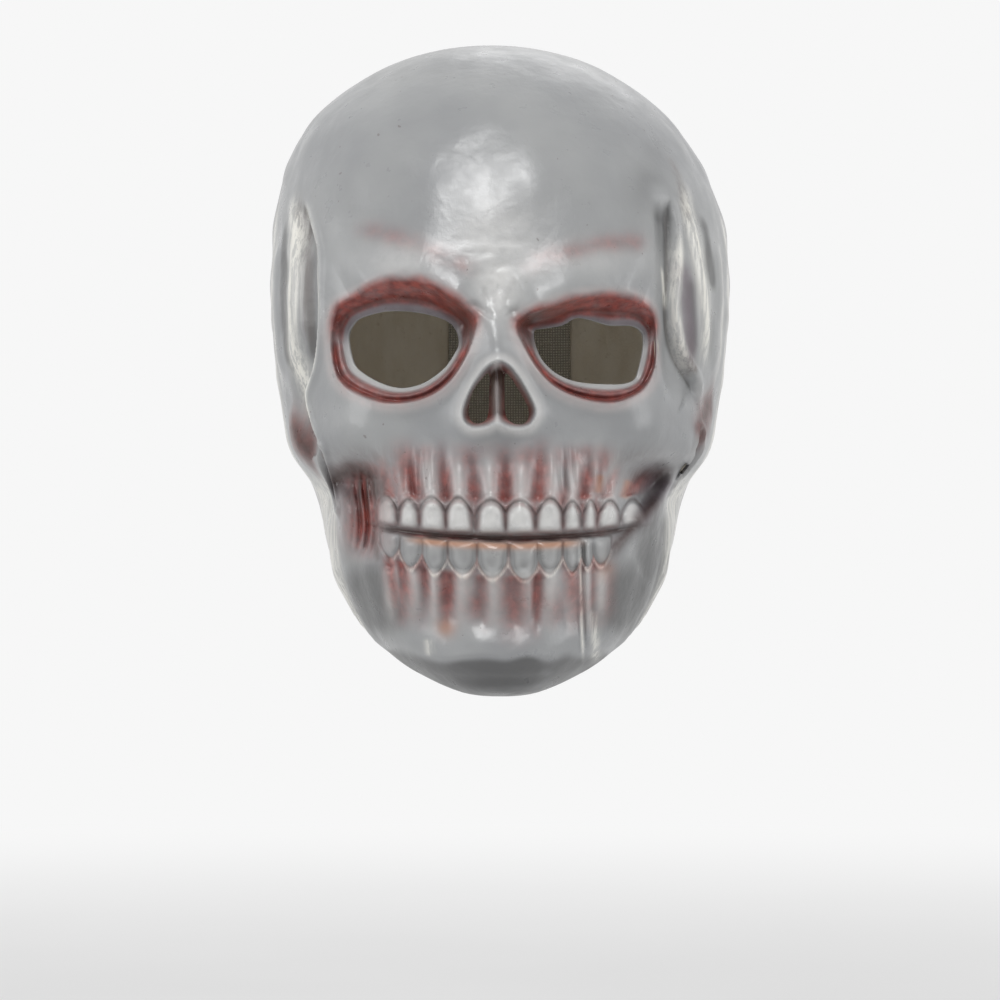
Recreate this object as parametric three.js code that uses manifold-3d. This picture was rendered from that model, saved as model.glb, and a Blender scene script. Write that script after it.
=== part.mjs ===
// An over-the-head latex skull mask for an adult, as the separate pieces it is glued and riveted up from.
// Millimetres. +Z is up, the face looks towards -Y and +X is the wearer's left.
// The origin is in the middle of the wearer's head, level with the pupils.
import * as THREE from "three";
import { mergeVertices } from "three/addons/utils/BufferGeometryUtils.js";
import Module from "manifold-3d";

const wasm = await Module();
wasm.setup();

// ---- driving dimensions ----
const SKIN = 2.4; // thickness of the cast latex
const GAP = 0.3; // clearance between pieces that touch
const FAR = 200; // past the whole mask, for cutting blocks
const SEAM_Y = 25; // the face casting is glued to the rear casting in this plane
const SLIT_TOP = 30; // the rear slit runs from the neck edge up to this height
const SLIT = 1.5; // width of the slit
const STRAP_Z = -72; // height of the closure strap
const STRAP_WIDTH = 26;
const STRAP = 1.6; // thickness of the strap webbing
const TAPE = 0.8; // thickness of the glued fabric tapes
const SEAM_TAPE_REACH = 9; // how far the seam tape covers each side of the seam
const SLIT_END_PATCH = { across: [-16, 16], up: [SLIT_TOP + 2, SLIT_TOP + 26] };
const SLIT_TAPE_UP = [-94, SLIT_TOP - 4];
const LABEL = { thickness: 0.6, across: [36, 54], up: [-88, -64] };
const PILE = 1; // thickness of each half's backing
const MESH = 1.75; // clearance between the two halves, filled by their hooks and loops
const FOAM = 7; // thickness of the comfort pads
const FOREHEAD_PAD = { across: [-42, 42], up: [48, 76] };
const TEMPLE_PAD = { along: [-22, 14], up: [24, 58] };
const CROWN_PAD_Z = 111; // the flat underside of the crown pad, which rests on the head
const CROWN_PAD = 34; // its radius
const RIVET = 1.5; // radius of a rivet's shank
const RIVET_PLAY = 0.8; // clearance under a rivet's cap and its clenched ring
const RIVET_CAP = 1.6; // height of a rivet's domed cap
const RIVET_X = 23;
const RIVET_HEIGHTS = [STRAP_Z + 7, STRAP_Z - 7];
const FOLD_X = 14; // the tongue of the strap peels back about a line here

// Level sections of the head form from the crown to under the chin:
// [height, half width, reach to the front, reach to the back, squareness of the front]
const SECTIONS = [
  [122.5, 0, 0, 0, 2.05],
  [120.6, 20, 22, 27, 2.05],
  [115.2, 38.5, 42, 48, 2.05],
  [107.3, 53, 58.5, 64, 2.1],
  [98.5, 64.5, 72, 76, 2.15],
  [88, 74, 82.5, 85, 2.2],
  [77, 80.5, 90.5, 91.5, 2.2],
  [65, 85, 97, 96, 2.25],
  [52, 88, 102, 99.5, 2.3],
  [39, 89.4, 105.5, 101.5, 2.35],
  [26, 89.8, 108, 102.8, 2.35],
  [13, 89.5, 109, 103, 2.35],
  [0, 88.4, 108.5, 102, 2.35],
  [-13, 86.8, 108, 99.5, 2.35],
  [-25, 84.8, 108, 96, 2.3],
  [-38, 81.5, 109, 92, 2.3],
  [-50, 73.6, 110.5, 89, 2.3],
  [-63, 69.8, 111.5, 87.5, 2.25],
  [-75, 67, 110.5, 87, 2.25],
  [-87, 63.8, 108.5, 87, 2.3],
  [-98.5, 58, 107.5, 87, 2.4],
  [-109, 51, 107.5, 87, 2.5],
  [-121, 38, 104, 84, 2.5],
  [-129, 20, 88, 60, 2.4],
  [-131.5, 0, 0, 0, 2.2],
];
const BACK_SQUARENESS = 2.1;
const CROWN_LEAN = -3.5; // the crown sits a little towards the wearer's right

// Outlines in the face's own plane, [x, z], taken round as closed smooth curves.
const EYE_RIMS = [
  [
    [-63.4, 4.8], [-62, -7], [-58.4, -13.3], [-52.1, -17.3], [-43.2, -20.3], [-34.3, -20.3],
    [-25.4, -17.7], [-18.2, -12.3], [-12.9, -4.4], [-9.3, 4.8], [-8.5, 10.9], [-14, 16.6],
    [-25.4, 23.6], [-36.1, 25.2], [-45, 24], [-53.9, 19.9], [-61.2, 15.5],
  ],
  [
    [5.9, 9.6], [10.3, -2.6], [17.5, -12.3], [26.5, -17.7], [37.2, -20.3], [45.2, -19.5], [53.2, -15],
    [57.7, -7], [59, 2], [58.6, 10.9], [54.9, 16.2], [46.1, 19.4], [31, 18.9], [19.2, 15.5],
  ],
];
const EYE_HOLES = [
  [
    [-57.1, 4.9], [-55.1, 9.9], [-51.1, 12.5], [-40.7, 14.5], [-28.1, 13.4], [-19.2, 10.2],
    [-16.1, 6.7], [-15.2, 2.2], [-16.5, -1.4], [-20.1, -6.8], [-25.5, -11.2], [-30.9, -13.8],
    [-37.1, -14.6], [-43.4, -13.1], [-50.7, -9.4], [-55.1, -4.9],
  ],
  [
    [12.6, 6.7], [15.8, 7.6], [22.9, 8.9], [27.9, 11.5], [32.8, 11.2], [40.9, 9.2], [48.8, 9.2],
    [52.9, 7.3], [54, 3.9], [53.5, -1.2], [52.2, -6.8], [50.3, -11.2], [45.4, -13.1], [37.4, -13.3],
    [28.3, -12.3], [21.1, -9.4], [15.8, -4.6], [13.1, 1.4],
  ],
];
const NOSE_RIM = [
  [-1.6, -5.5], [-5.9, -8.4], [-11, -15.7], [-13.8, -22.9], [-13.2, -27.4], [-9.9, -29.6],
  [-5.1, -29.3], [-1.1, -27.8], [3.3, -29.3], [8.1, -29.6], [11.7, -27.8], [13.2, -22.9],
  [10, -15.7], [5.4, -8.8], [1.8, -5.8],
];
const NOSTRILS = [
  [
    [-4, -9.7], [-7, -11.9], [-9.9, -16.3], [-11.4, -21.5], [-11, -26.2], [-8.8, -27.9], [-5.5, -27],
    [-4.2, -23.7], [-4, -16.3],
  ],
  [
    [1.8, -9.7], [4, -11.2], [7, -15.9], [9.9, -21.1], [10.5, -25.5], [8.5, -28.1], [4.4, -27.7],
    [2, -24.4], [1.7, -16.3],
  ],
];
// [centre x, width] of each tooth, from the wearer's right to left
const UPPER_TEETH = [
  [-41.9, 8.1], [-33.5, 7.9], [-24.6, 10], [-14.7, 10.1], [-3.1, 11], [7.5, 11.2], [18, 10.1],
  [26.6, 6.9], [32.9, 5.5], [40, 8.8], [49.2, 9],
];
const LOWER_TEETH = [
  [-40.7, 7.6], [-32.6, 8.4], [-23.8, 9], [-13.9, 10.4], [-2.6, 10.8], [8.8, 10.2], [18.2, 9.2],
  [26.6, 6.8], [32, 4.6], [37.5, 7.4],
];
const TOOTH_DEPTH = 3.4; // how far a tooth stands off the gum
// The neck edge from the side, [y, z]: under the chin, up along the jaw, then round to the nape.
const NECK_EDGE = [[-84, -150], [-84, -127], [-62, -116], [-25, -101], [40, -98], [110, -104]];

// ---- the head form and its relief ----
const { lerp, clamp } = THREE.MathUtils;
const smooth = (low, high, value) => {
  const t = clamp((value - low) / (high - low), 0, 1);
  return t * t * (3 - 2 * t);
};
const bell = (value, width) => Math.exp(-((value / width) ** 2));

const closedCurve = (points) =>
  new THREE.CatmullRomCurve3(points.map(([x, z]) => new THREE.Vector3(x, 0, z)), true)
    .getPoints(points.length * 4)
    .slice(0, -1)
    .map((p) => new THREE.Vector2(p.x, p.z));

// Distance from (x, z) to a closed outline, negative inside it.
function outside(outline, x, z) {
  let nearest = Infinity;
  let inside = false;
  outline.forEach((a, i) => {
    const b = outline[(i + 1) % outline.length];
    const [ex, ez, px, pz] = [b.x - a.x, b.y - a.y, x - a.x, z - a.y];
    const t = clamp((px * ex + pz * ez) / (ex * ex + ez * ez), 0, 1);
    nearest = Math.min(nearest, Math.hypot(px - ex * t, pz - ez * t));
    if (a.y > z !== b.y > z && px < (ex * pz) / ez) inside = !inside;
  });
  return inside ? -nearest : nearest;
}

// The sections with one more beyond each end, mirrored through the pole, so that the ends close as round caps.
const mirrored = ([z, halfWidth, front, back, squareness]) => [z, -halfWidth, -front, -back, squareness];
const capped = [mirrored(SECTIONS[1]), ...SECTIONS, mirrored(SECTIONS.at(-2))];

// A section part of the way down the table, by Catmull-Rom interpolation.
function sectionAt(t) {
  const place = clamp(t, 0, 1) * (SECTIONS.length - 1);
  const i = Math.min(Math.floor(place), SECTIONS.length - 2);
  const f = place - i;
  const [a, b, c, d] = capped.slice(i, i + 4);
  return b.map((_, k) => {
    const curve = (2 * a[k] - 5 * b[k] + 4 * c[k] - d[k]) * f + (3 * b[k] - a[k] - 3 * c[k] + d[k]) * f * f;
    return b[k] + 0.5 * f * (c[k] - a[k] + curve);
  });
}

// The share of the way down the table that has height z.
function shareAt(z) {
  let [low, high] = [0, 1];
  for (let i = 0; i < 40; i++) {
    const middle = (low + high) / 2;
    if (sectionAt(middle)[0] > z) low = middle;
    else high = middle;
  }
  return low;
}

const eyeRims = EYE_RIMS.map(closedCurve);
const noseRim = closedCurve(NOSE_RIM);
const biteLine = (x) => -70 + 0.0016 * (x - 4) ** 2;

// How far the face stands forward of the head form at (x, z).
function faceRelief(x, z) {
  const side = Math.abs(x);
  let forward = 0;
  eyeRims.forEach((rim) => {
    const d = outside(rim, x, z);
    forward -= 13 * smooth(0, 12, -d);
    forward += 2 * bell(Math.max(d, 0), 4.5) * smooth(-2, 0, d);
  });
  forward += 3.5 * bell(z - 27 + 0.004 * (side - 36) ** 2, 7) * smooth(66, 50, side); // brow
  const bridge = smooth(22, -4, z) * smooth(-34, -24, z);
  forward += 8 * bridge * bell(x, 9 + 5 * smooth(0, -26, z)); // nasal bones and aperture rim
  const nose = outside(noseRim, x, z);
  forward -= 9 * smooth(0, 4.5, -nose) * (1 - 0.75 * bell(x + 1, 2));
  forward += 6 * bell(side - 52, 15) * bell(z + 29, 10); // cheekbone
  forward -= 10 * bell(side - 58, 10) * bell(z + 50, 9); // hollow under the cheekbone
  forward += 3 * smooth(46, 30, side) * smooth(-34, -46, z) * smooth(-92, -82, z); // jaws behind the teeth
  forward -= 2.5 * bell(z + 93, 6) * smooth(44, 26, side); // fold above the chin
  forward += 3 * bell(x, 24) * bell(z + 112, 10); // chin
  return forward;
}

// How far the side of the head stands out from the head form at (y, z).
function sideRelief(y, z) {
  let out = 0;
  out -= 7 * bell(y + 54, 22) * bell(z - 14, 32); // temple
  out += 3.5 * bell(z + 28, 7) * smooth(-90, -70, y) * smooth(8, -14, y); // cheek arch
  out += 2.5 * bell(y - 2, 10) * bell(z + 32, 9); // knob below the ear
  out -= 5 * bell(y + 44, 16) * bell(z + 52, 9); // hollow between arch and jaw
  out += 2.5 * bell(y + 34, 16) * bell(z + 84, 16); // angle of the jaw
  return out;
}

// A point of the outer skin. turn is 0 at the face and grows towards the wearer's left.
function skin(turn, t) {
  const [z, halfWidth, front, back, squareness] = sectionAt(t);
  const [s, c] = [Math.sin(turn), Math.cos(turn)];
  const power = lerp(BACK_SQUARENESS, squareness, smooth(-0.2, 0.2, c));
  const reach = c > 0 ? front : back;
  if (halfWidth < 1e-6) return new THREE.Vector3(CROWN_LEAN * smooth(40, 100, z), 0, z);
  const radius = ((Math.abs(s) / halfWidth) ** power + (Math.abs(c) / reach) ** power) ** (-1 / power);
  const point = new THREE.Vector3(radius * s, -radius * c, z);
  const facing = smooth(0.1, 0.45, c);
  const beside = smooth(0.55, 0.8, Math.abs(s));
  const [x, y] = [point.x, point.y];
  point.y -= facing * faceRelief(x, z);
  point.x += Math.sign(s) * beside * sideRelief(y, z);
  point.x += CROWN_LEAN * smooth(40, 100, z);
  return point;
}

// The outward normal of the skin.
function normalAt(turn, t) {
  const step = 0.012;
  const along = skin(turn + step, t).sub(skin(turn - step, t));
  const down = skin(turn, Math.min(t + step, 0.999)).sub(skin(turn, Math.max(t - step, 0.001)));
  return down.cross(along).normalize();
}

const sunk = (turn, t, depth) => skin(turn, t).addScaledVector(normalAt(turn, t), -depth);

// The turn at which the skin at height z reaches x, on the front.
function turnAt(x, z) {
  const t = shareAt(z);
  let [low, high] = [-1.3, 1.3];
  for (let i = 0; i < 30; i++) {
    const middle = (low + high) / 2;
    if (skin(middle, t).x < x) low = middle;
    else high = middle;
  }
  return low;
}

// ---- solids ----
function solidOf(geometry) {
  const bare = geometry.clone();
  bare.deleteAttribute("normal");
  bare.deleteAttribute("uv");
  const merged = mergeVertices(bare, 1e-4);
  const mesh = { numProp: 3, vertProperties: merged.attributes.position.array };
  return new wasm.Manifold(new wasm.Mesh({ ...mesh, triVerts: new Uint32Array(merged.index.array) }));
}

function geometryOf(solid) {
  const { vertProperties, triVerts } = solid.getMesh();
  return new THREE.BufferGeometry()
    .setAttribute("position", new THREE.BufferAttribute(vertProperties, 3))
    .setIndex(new THREE.BufferAttribute(triVerts, 1))
    .toNonIndexed();
}

// The whole closed head form, sunk by depth under the outer skin: a sphere whose points are moved onto the skin.
function headForm(depth) {
  const sphere = new THREE.SphereGeometry(1, 56, 46).rotateX(Math.PI / 2);
  sphere.deleteAttribute("normal");
  sphere.deleteAttribute("uv");
  const form = mergeVertices(sphere, 1e-5);
  const places = form.attributes.position;
  const p = new THREE.Vector3();
  for (let i = 0; i < places.count; i++) {
    p.fromBufferAttribute(places, i);
    const around = Math.atan2(p.x, -p.y);
    const turn = around - 0.42 * Math.sin(around); // columns stand closer together on the face
    const t = Math.acos(clamp(p.z, -1, 1)) / Math.PI;
    const pole = t < 1e-4 || t > 1 - 1e-4;
    const at = pole ? skin(0, t).setZ(sectionAt(t)[0] + (t < 0.5 ? -depth : depth)) : sunk(turn, t, depth);
    places.setXYZ(i, at.x, at.y, at.z);
  }
  return solidOf(form);
}

const block = (low, high) => {
  const size = high.map((h, k) => h - low[k]);
  return solidOf(new THREE.BoxGeometry(...size).translate(...low.map((l, k) => l + size[k] / 2)));
};

// An outline in the face's plane, cut straight back along +Y from y = from to y = to.
function facePrism(points, from, to) {
  const shape = new THREE.Shape(closedCurve(points));
  const prism = new THREE.ExtrudeGeometry(shape, { depth: to - from, bevelEnabled: false });
  return solidOf(prism.rotateX(Math.PI / 2).translate(0, to, 0));
}

// Everything below the neck edge.
function neckCut() {
  const shape = new THREE.Shape();
  shape.moveTo(FAR, -FAR);
  shape.lineTo(NECK_EDGE[0][0], -FAR);
  NECK_EDGE.forEach(([y, z]) => shape.lineTo(y, z));
  shape.lineTo(FAR, NECK_EDGE.at(-1)[1]);
  const prism = new THREE.ExtrudeGeometry(shape, { depth: 2 * FAR, bevelEnabled: false });
  return solidOf(prism.rotateX(Math.PI / 2).rotateZ(Math.PI / 2).translate(-FAR, 0, 0));
}

// One tooth: a squared-off ellipsoid set into the gum.
function tooth(x, z, width, height) {
  const geometry = new THREE.SphereGeometry(1, 8, 6).rotateX(Math.PI / 2);
  const places = geometry.attributes.position;
  const square = (v) => Math.sign(v) * Math.abs(v) ** 0.62;
  for (let i = 0; i < places.count; i++)
    places.setXYZ(i, square(places.getX(i)), places.getY(i), square(places.getZ(i)));
  const turn = turnAt(x, z);
  const at = skin(turn, shareAt(z));
  geometry.scale(width * 0.56, TOOTH_DEPTH, height / 2).rotateZ(turn * 0.62).translate(at.x, at.y + 0.6, at.z);
  return solidOf(geometry);
}

function teeth() {
  const upper = UPPER_TEETH.map(([x, width]) => tooth(x, biteLine(x) + 6.2, width, 12 - 0.0012 * x * x));
  const lower = LOWER_TEETH.map(([x, width]) => tooth(x, biteLine(x) - 6, width, 11.4 - 0.0012 * x * x));
  return wasm.Manifold.union([...upper, ...lower]);
}

const forms = new Map();
const formAt = (depth) => {
  if (!forms.has(depth)) forms.set(depth, headForm(depth));
  return forms.get(depth);
};

// What lies between two depths under the skin, or over it where they are negative.
const layer = (from, thickness) => formAt(from).subtract(formAt(from + thickness));

// ---- the castings ----
const wholeSkin = formAt(0)
  .add(teeth())
  .subtract(formAt(SKIN))
  .subtract(neckCut())
  .subtract(wasm.Manifold.union([...EYE_HOLES, ...NOSTRILS].map((hole) => facePrism(hole, -150, -66))));

const rear = wholeSkin.intersect(block([-FAR, SEAM_Y + GAP / 2, -FAR], [FAR, FAR, FAR]));
const castings = {
  face_casting: wholeSkin.intersect(block([-FAR, -FAR, -FAR], [FAR, SEAM_Y - GAP / 2, FAR])),
  crown_casting: rear.intersect(block([-FAR, 0, SLIT_TOP + GAP / 2], [FAR, FAR, FAR])),
  left_flap_casting: rear.intersect(block([SLIT / 2, 0, -FAR], [FAR, FAR, SLIT_TOP - GAP / 2])),
  right_flap_casting: rear.intersect(block([-FAR, 0, -FAR], [-SLIT / 2, FAR, SLIT_TOP - GAP / 2])),
};

// ---- what is glued, sewn and riveted on ----
const INSIDE = SKIN + GAP; // depth at which a piece lies against the inner wall
const rows = { low: STRAP_Z - STRAP_WIDTH / 2, high: STRAP_Z + STRAP_WIDTH / 2 };

// The part of a layer at the back of the head, between two heights and two distances across.
const atBack = (made, [xLow, xHigh], [zLow, zHigh]) => made.intersect(block([xLow, 50, zLow], [xHigh, FAR, zHigh]));
// The part of a layer in front of the seam plane.
const atFront = (made, [xLow, xHigh], [zLow, zHigh]) => made.intersect(block([xLow, -FAR, zLow], [xHigh, 0, zHigh]));
// The part of a layer at one side of the head, between two heights and two distances back.
function atSide(made, side, [yLow, yHigh], [zLow, zHigh]) {
  const [xLow, xHigh] = side > 0 ? [40, FAR] : [-FAR, -40];
  return made.intersect(block([xLow, yLow, zLow], [xHigh, yHigh, zHigh]));
}

// A slab of foam between the seam tape and the top of the head, flat underneath.
function crownPad() {
  const column = new THREE.CylinderGeometry(CROWN_PAD, CROWN_PAD, 40, 32).rotateX(Math.PI / 2);
  return formAt(INSIDE + TAPE + GAP).intersect(solidOf(column.translate(CROWN_LEAN, 2, CROWN_PAD_Z + 20)));
}

// Where the rivets go through: the place on the skin at height z, and the way out of it.
function rivetPlace(z) {
  const t = shareAt(z);
  let [low, high] = [Math.PI / 2, Math.PI];
  for (let i = 0; i < 30; i++) {
    const middle = (low + high) / 2;
    if (skin(middle, t).x > RIVET_X) low = middle;
    else high = middle;
  }
  return { at: skin(low, t), out: normalAt(low, t) };
}

const UP = new THREE.Vector3(0, 1, 0);
function pinned(geometry, z) {
  const { at, out } = rivetPlace(z);
  geometry.applyQuaternion(new THREE.Quaternion().setFromUnitVectors(UP, out));
  return solidOf(geometry.translate(at.x, at.y, at.z));
}

// A tubular rivet: its domed cap over the strap, its shank, and its clenched ring on the tape inside.
function rivet(z) {
  const over = GAP + STRAP + RIVET_PLAY;
  const under = -(INSIDE + TAPE + RIVET_PLAY);
  const profile = [
    [0, over + RIVET_CAP], [2.2, over + 1.3], [3.6, over + 0.4], [3.6, over], [RIVET, over],
    [RIVET, under], [3, under], [3, under - 0.8], [0, under - 0.8],
  ];
  return pinned(new THREE.LatheGeometry(profile.reverse().map(([r, h]) => new THREE.Vector2(r, h)), 16), z);
}

const rivetHoles = wasm.Manifold.union(
  RIVET_HEIGHTS.map((z) => pinned(new THREE.CylinderGeometry(RIVET + GAP, RIVET + GAP, 30, 12), z)),
);
castings.left_flap_casting = castings.left_flap_casting.subtract(rivetHoles);

const lining = layer(INSIDE, TAPE);
const padding = layer(INSIDE, FOAM);
const loops = layer(-(GAP + PILE), PILE);
const hooks = layer(-(GAP + PILE + MESH + PILE), PILE);
const strapOnSkin = layer(-(GAP + STRAP), STRAP);
const strapOverPile = layer(-(GAP + PILE + MESH + PILE + GAP + STRAP), STRAP);
const edge = SLIT / 2 + GAP;

const fittings = {
  crown_pad: crownPad(),
  forehead_pad: atFront(padding, FOREHEAD_PAD.across, FOREHEAD_PAD.up),
  left_temple_pad: atSide(padding, 1, TEMPLE_PAD.along, TEMPLE_PAD.up),
  right_temple_pad: atSide(padding, -1, TEMPLE_PAD.along, TEMPLE_PAD.up),
  seam_tape: lining.intersect(
    block([-FAR, SEAM_Y - SEAM_TAPE_REACH, SLIT_TOP + 4], [FAR, SEAM_Y + SEAM_TAPE_REACH, FAR]),
  ),
  slit_end_patch: atBack(lining, SLIT_END_PATCH.across, SLIT_END_PATCH.up),
  left_slit_tape: atBack(lining, [edge, 30], SLIT_TAPE_UP).subtract(rivetHoles),
  right_slit_tape: atBack(lining, [-22, -edge], SLIT_TAPE_UP),
  care_label: atBack(layer(INSIDE, LABEL.thickness), LABEL.across, LABEL.up),
  strap_anchor: atBack(strapOnSkin, [FOLD_X + GAP, 33], [rows.low, rows.high]).subtract(rivetHoles),
  strap_tongue: atBack(strapOverPile, [-36, FOLD_X], [rows.low, rows.high]),
  hook_pad: atBack(hooks, [-32, -6], [rows.low + 2, rows.high - 2]),
  loop_pad: atBack(loops, [-34, -4], [rows.low - 2, rows.high + 2]),
};
RIVET_HEIGHTS.forEach((z, i) => {
  fittings[`strap_rivet_${i + 1}`] = rivet(z);
});

// ---- materials and the assembly ----
const material = (color, roughness, metalness = 0) => new THREE.MeshStandardMaterial({ color, roughness, metalness });
const latex = material(0xa3a5a7, 0.38);
const foam = material(0x4a4a4c, 0.95);
const tape = material(0xd8d2c4, 0.85);
const webbing = material(0x232325, 0.8);
const pile = material(0x17171a, 0.95);
const steel = material(0x9a9ca0, 0.3, 1);
const satin = material(0xe8e6e0, 0.5);
const finishes = {
  casting: latex, pad: foam, tape, patch: tape, anchor: webbing, tongue: webbing, label: satin,
};
const finishOf = (name) => {
  if (/^(hook|loop)_/.test(name)) return pile;
  return name.includes("rivet") ? steel : finishes[name.split("_").at(-1)];
};

const mask = new THREE.Group();
for (const [name, solid] of Object.entries({ ...castings, ...fittings })) {
  const mesh = new THREE.Mesh(geometryOf(solid), finishOf(name));
  mesh.name = name;
  mask.add(mesh);
}

export default mask;
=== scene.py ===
"""An over-the-head latex skull mask: the sculpted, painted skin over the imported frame, in a pale studio."""

import math

import bpy
import numpy as np
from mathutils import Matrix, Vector


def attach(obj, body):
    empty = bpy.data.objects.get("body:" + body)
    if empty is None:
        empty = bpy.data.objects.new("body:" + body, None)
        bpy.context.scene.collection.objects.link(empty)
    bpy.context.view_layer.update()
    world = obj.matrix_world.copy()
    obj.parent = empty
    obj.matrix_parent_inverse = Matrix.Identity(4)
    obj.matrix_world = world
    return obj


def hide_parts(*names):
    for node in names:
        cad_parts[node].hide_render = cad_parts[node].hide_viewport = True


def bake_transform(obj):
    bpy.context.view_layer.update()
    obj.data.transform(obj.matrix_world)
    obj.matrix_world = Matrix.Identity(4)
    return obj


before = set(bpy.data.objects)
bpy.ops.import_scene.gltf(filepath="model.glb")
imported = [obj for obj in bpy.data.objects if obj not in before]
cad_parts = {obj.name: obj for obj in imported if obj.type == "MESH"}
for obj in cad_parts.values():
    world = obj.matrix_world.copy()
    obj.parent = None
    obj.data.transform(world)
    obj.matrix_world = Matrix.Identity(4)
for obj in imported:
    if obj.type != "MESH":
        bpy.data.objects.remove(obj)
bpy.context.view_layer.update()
MM = 0.001  # everything below is in millimetres until a mesh is made

# ---------------------------------------------------------------- driving dimensions
SKIN = 1.8  # thickness of the cast latex
EDGE_EVENING = 12  # rounds of smoothing along an open edge
# Section of an open edge, as shares of the thickness: how far down, and how far beyond the edge.
ROLL = [(0.12, 0.18), (0.4, 0.28), (0.7, 0.22), (0.95, 0), (1, -0.7)]
LINING_BACK = 0.5  # the lining stops this far short of the edge, under the roll
LINING_DEPTH = 0.85 * SKIN
SEAM_Y = 25.0  # the face casting meets the rear castings in this plane
SLIT_TOP = 30.0
SEAM_HALF = 0.05  # each casting stops this far short of the slit's top level, and twice as far of the seam
SLIT = 1.2  # width of the rear slit
PUPIL_TO_LENS = 1578.0  # from the pupils' plane to the camera
CAMERA_Z = -56.0
LENS = 144.0  # on a 36 mm sensor

# Level sections of the head form from the crown to under the chin:
# height, half width, reach to the front, reach to the back, squareness of the front
SECTIONS = np.array([
    [122.5, 0, 0, 0, 2.05],
    [120.6, 20, 22, 27, 2.05],
    [115.2, 38.5, 42, 48, 2.05],
    [107.3, 53, 58.5, 64, 2.1],
    [98.5, 64.5, 72, 76, 2.15],
    [88, 74, 82.5, 85, 2.2],
    [77, 80.5, 90.5, 91.5, 2.2],
    [65, 85, 97, 96, 2.25],
    [52, 88, 102, 99.5, 2.3],
    [39, 89.4, 105.5, 101.5, 2.35],
    [26, 89.8, 108, 102.8, 2.35],
    [13, 89.5, 109, 103, 2.35],
    [0, 88.4, 108.5, 102, 2.35],
    [-13, 86.8, 108, 99.5, 2.35],
    [-25, 84.8, 108, 96, 2.3],
    [-38, 81.5, 109, 92, 2.3],
    [-50, 73.6, 110.5, 89, 2.3],
    [-63, 69.8, 111.5, 87.5, 2.25],
    [-75, 67, 110.5, 87, 2.25],
    [-87, 63.8, 108.5, 87, 2.3],
    [-98.5, 58, 107.5, 87, 2.4],
    [-109, 51, 107.5, 87, 2.5],
    [-121, 38, 104, 84, 2.5],
    [-129, 20, 88, 60, 2.4],
    [-131.5, 0, 0, 0, 2.2],
])
BACK_SQUARENESS = 2.1
CROWN_LEAN = -3.5  # the crown sits a little towards the wearer's right

# Outlines in the face's own plane, (x, z), as closed smooth curves.
EYE_HOLES = [
    [(-57.1, 4.9), (-55.1, 9.9), (-51.1, 12.5), (-40.7, 14.5), (-28.1, 13.4), (-19.2, 10.2),
     (-16.1, 6.7), (-15.2, 2.2), (-16.5, -1.4), (-20.1, -6.8), (-25.5, -11.2), (-30.9, -13.8),
     (-37.1, -14.6), (-43.4, -13.1), (-50.7, -9.4), (-55.1, -4.9)],
    [(12.6, 6.7), (15.8, 7.6), (22.9, 8.9), (27.9, 11.5), (32.8, 11.2), (40.9, 9.2), (48.8, 9.2),
     (52.9, 7.3), (54, 3.9), (53.5, -1.2), (52.2, -6.8), (50.3, -11.2), (45.4, -13.1), (37.4, -13.3),
     (28.3, -12.3), (21.1, -9.4), (15.8, -4.6), (13.1, 1.4)],
]
EYE_RIMS = [
    [(-63.4, 4.8), (-62, -7), (-58.4, -13.3), (-52.1, -17.3), (-43.2, -20.3), (-34.3, -20.3),
     (-25.4, -17.7), (-18.2, -12.3), (-12.9, -4.4), (-9.3, 4.8), (-8.5, 10.9), (-14, 16.6),
     (-25.4, 23.6), (-36.1, 25.2), (-45, 24), (-53.9, 19.9), (-61.2, 15.5)],
    [(5.9, 9.6), (10.3, -2.6), (17.5, -12.3), (26.5, -17.7), (37.2, -20.3), (45.2, -19.5),
     (53.2, -15), (57.7, -7), (59, 2), (58.6, 10.9), (54.9, 16.2), (46.1, 19.4), (31, 18.9),
     (19.2, 15.5)],
]
NOSE_RIM = [
    (-1.6, -5.5), (-5.9, -8.4), (-11, -15.7), (-13.8, -22.9), (-13.2, -27.4), (-9.9, -29.6),
    (-5.1, -29.3), (-1.1, -27.8), (3.3, -29.3), (8.1, -29.6), (11.7, -27.8), (13.2, -22.9),
    (10, -15.7), (5.4, -8.8), (1.8, -5.8),
]
NOSTRILS = [
    [(-4, -9.7), (-7, -11.9), (-9.9, -16.3), (-11.4, -21.5), (-11, -26.2), (-8.8, -27.9), (-5.5, -27),
     (-4.2, -23.7), (-4, -16.3)],
    [(1.8, -9.7), (4, -11.2), (7, -15.9), (9.9, -21.1), (10.5, -25.5), (8.5, -28.1), (4.4, -27.7),
     (2, -24.4), (1.7, -16.3)],
]
# The neck edge from the side, (y, z): under the chin, up along the jaw, then round to the nape.
NECK_EDGE = [(-84, -150), (-84, -127), (-62, -116), (-25, -101), (40, -98), (110, -104)]

# (centre x, width) of each tooth, from the wearer's right to left
UPPER_TEETH = [
    (-41.9, 8.1), (-33.5, 7.9), (-24.6, 10), (-14.7, 10.1), (-3.1, 11), (7.5, 11.2), (18, 10.1),
    (26.6, 6.9), (32.9, 5.5), (40, 8.8), (49.2, 9),
]
LOWER_TEETH = [
    (-40.7, 7.6), (-32.6, 8.4), (-23.8, 9), (-13.9, 10.4), (-2.6, 10.8), (8.8, 10.2), (18.2, 9.2),
    (26.6, 6.8), (32, 4.6), (37.5, 7.4),
]
ROOT_WIDTH = 0.34  # half width of a root's ridge, as a share of its tooth's width
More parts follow.
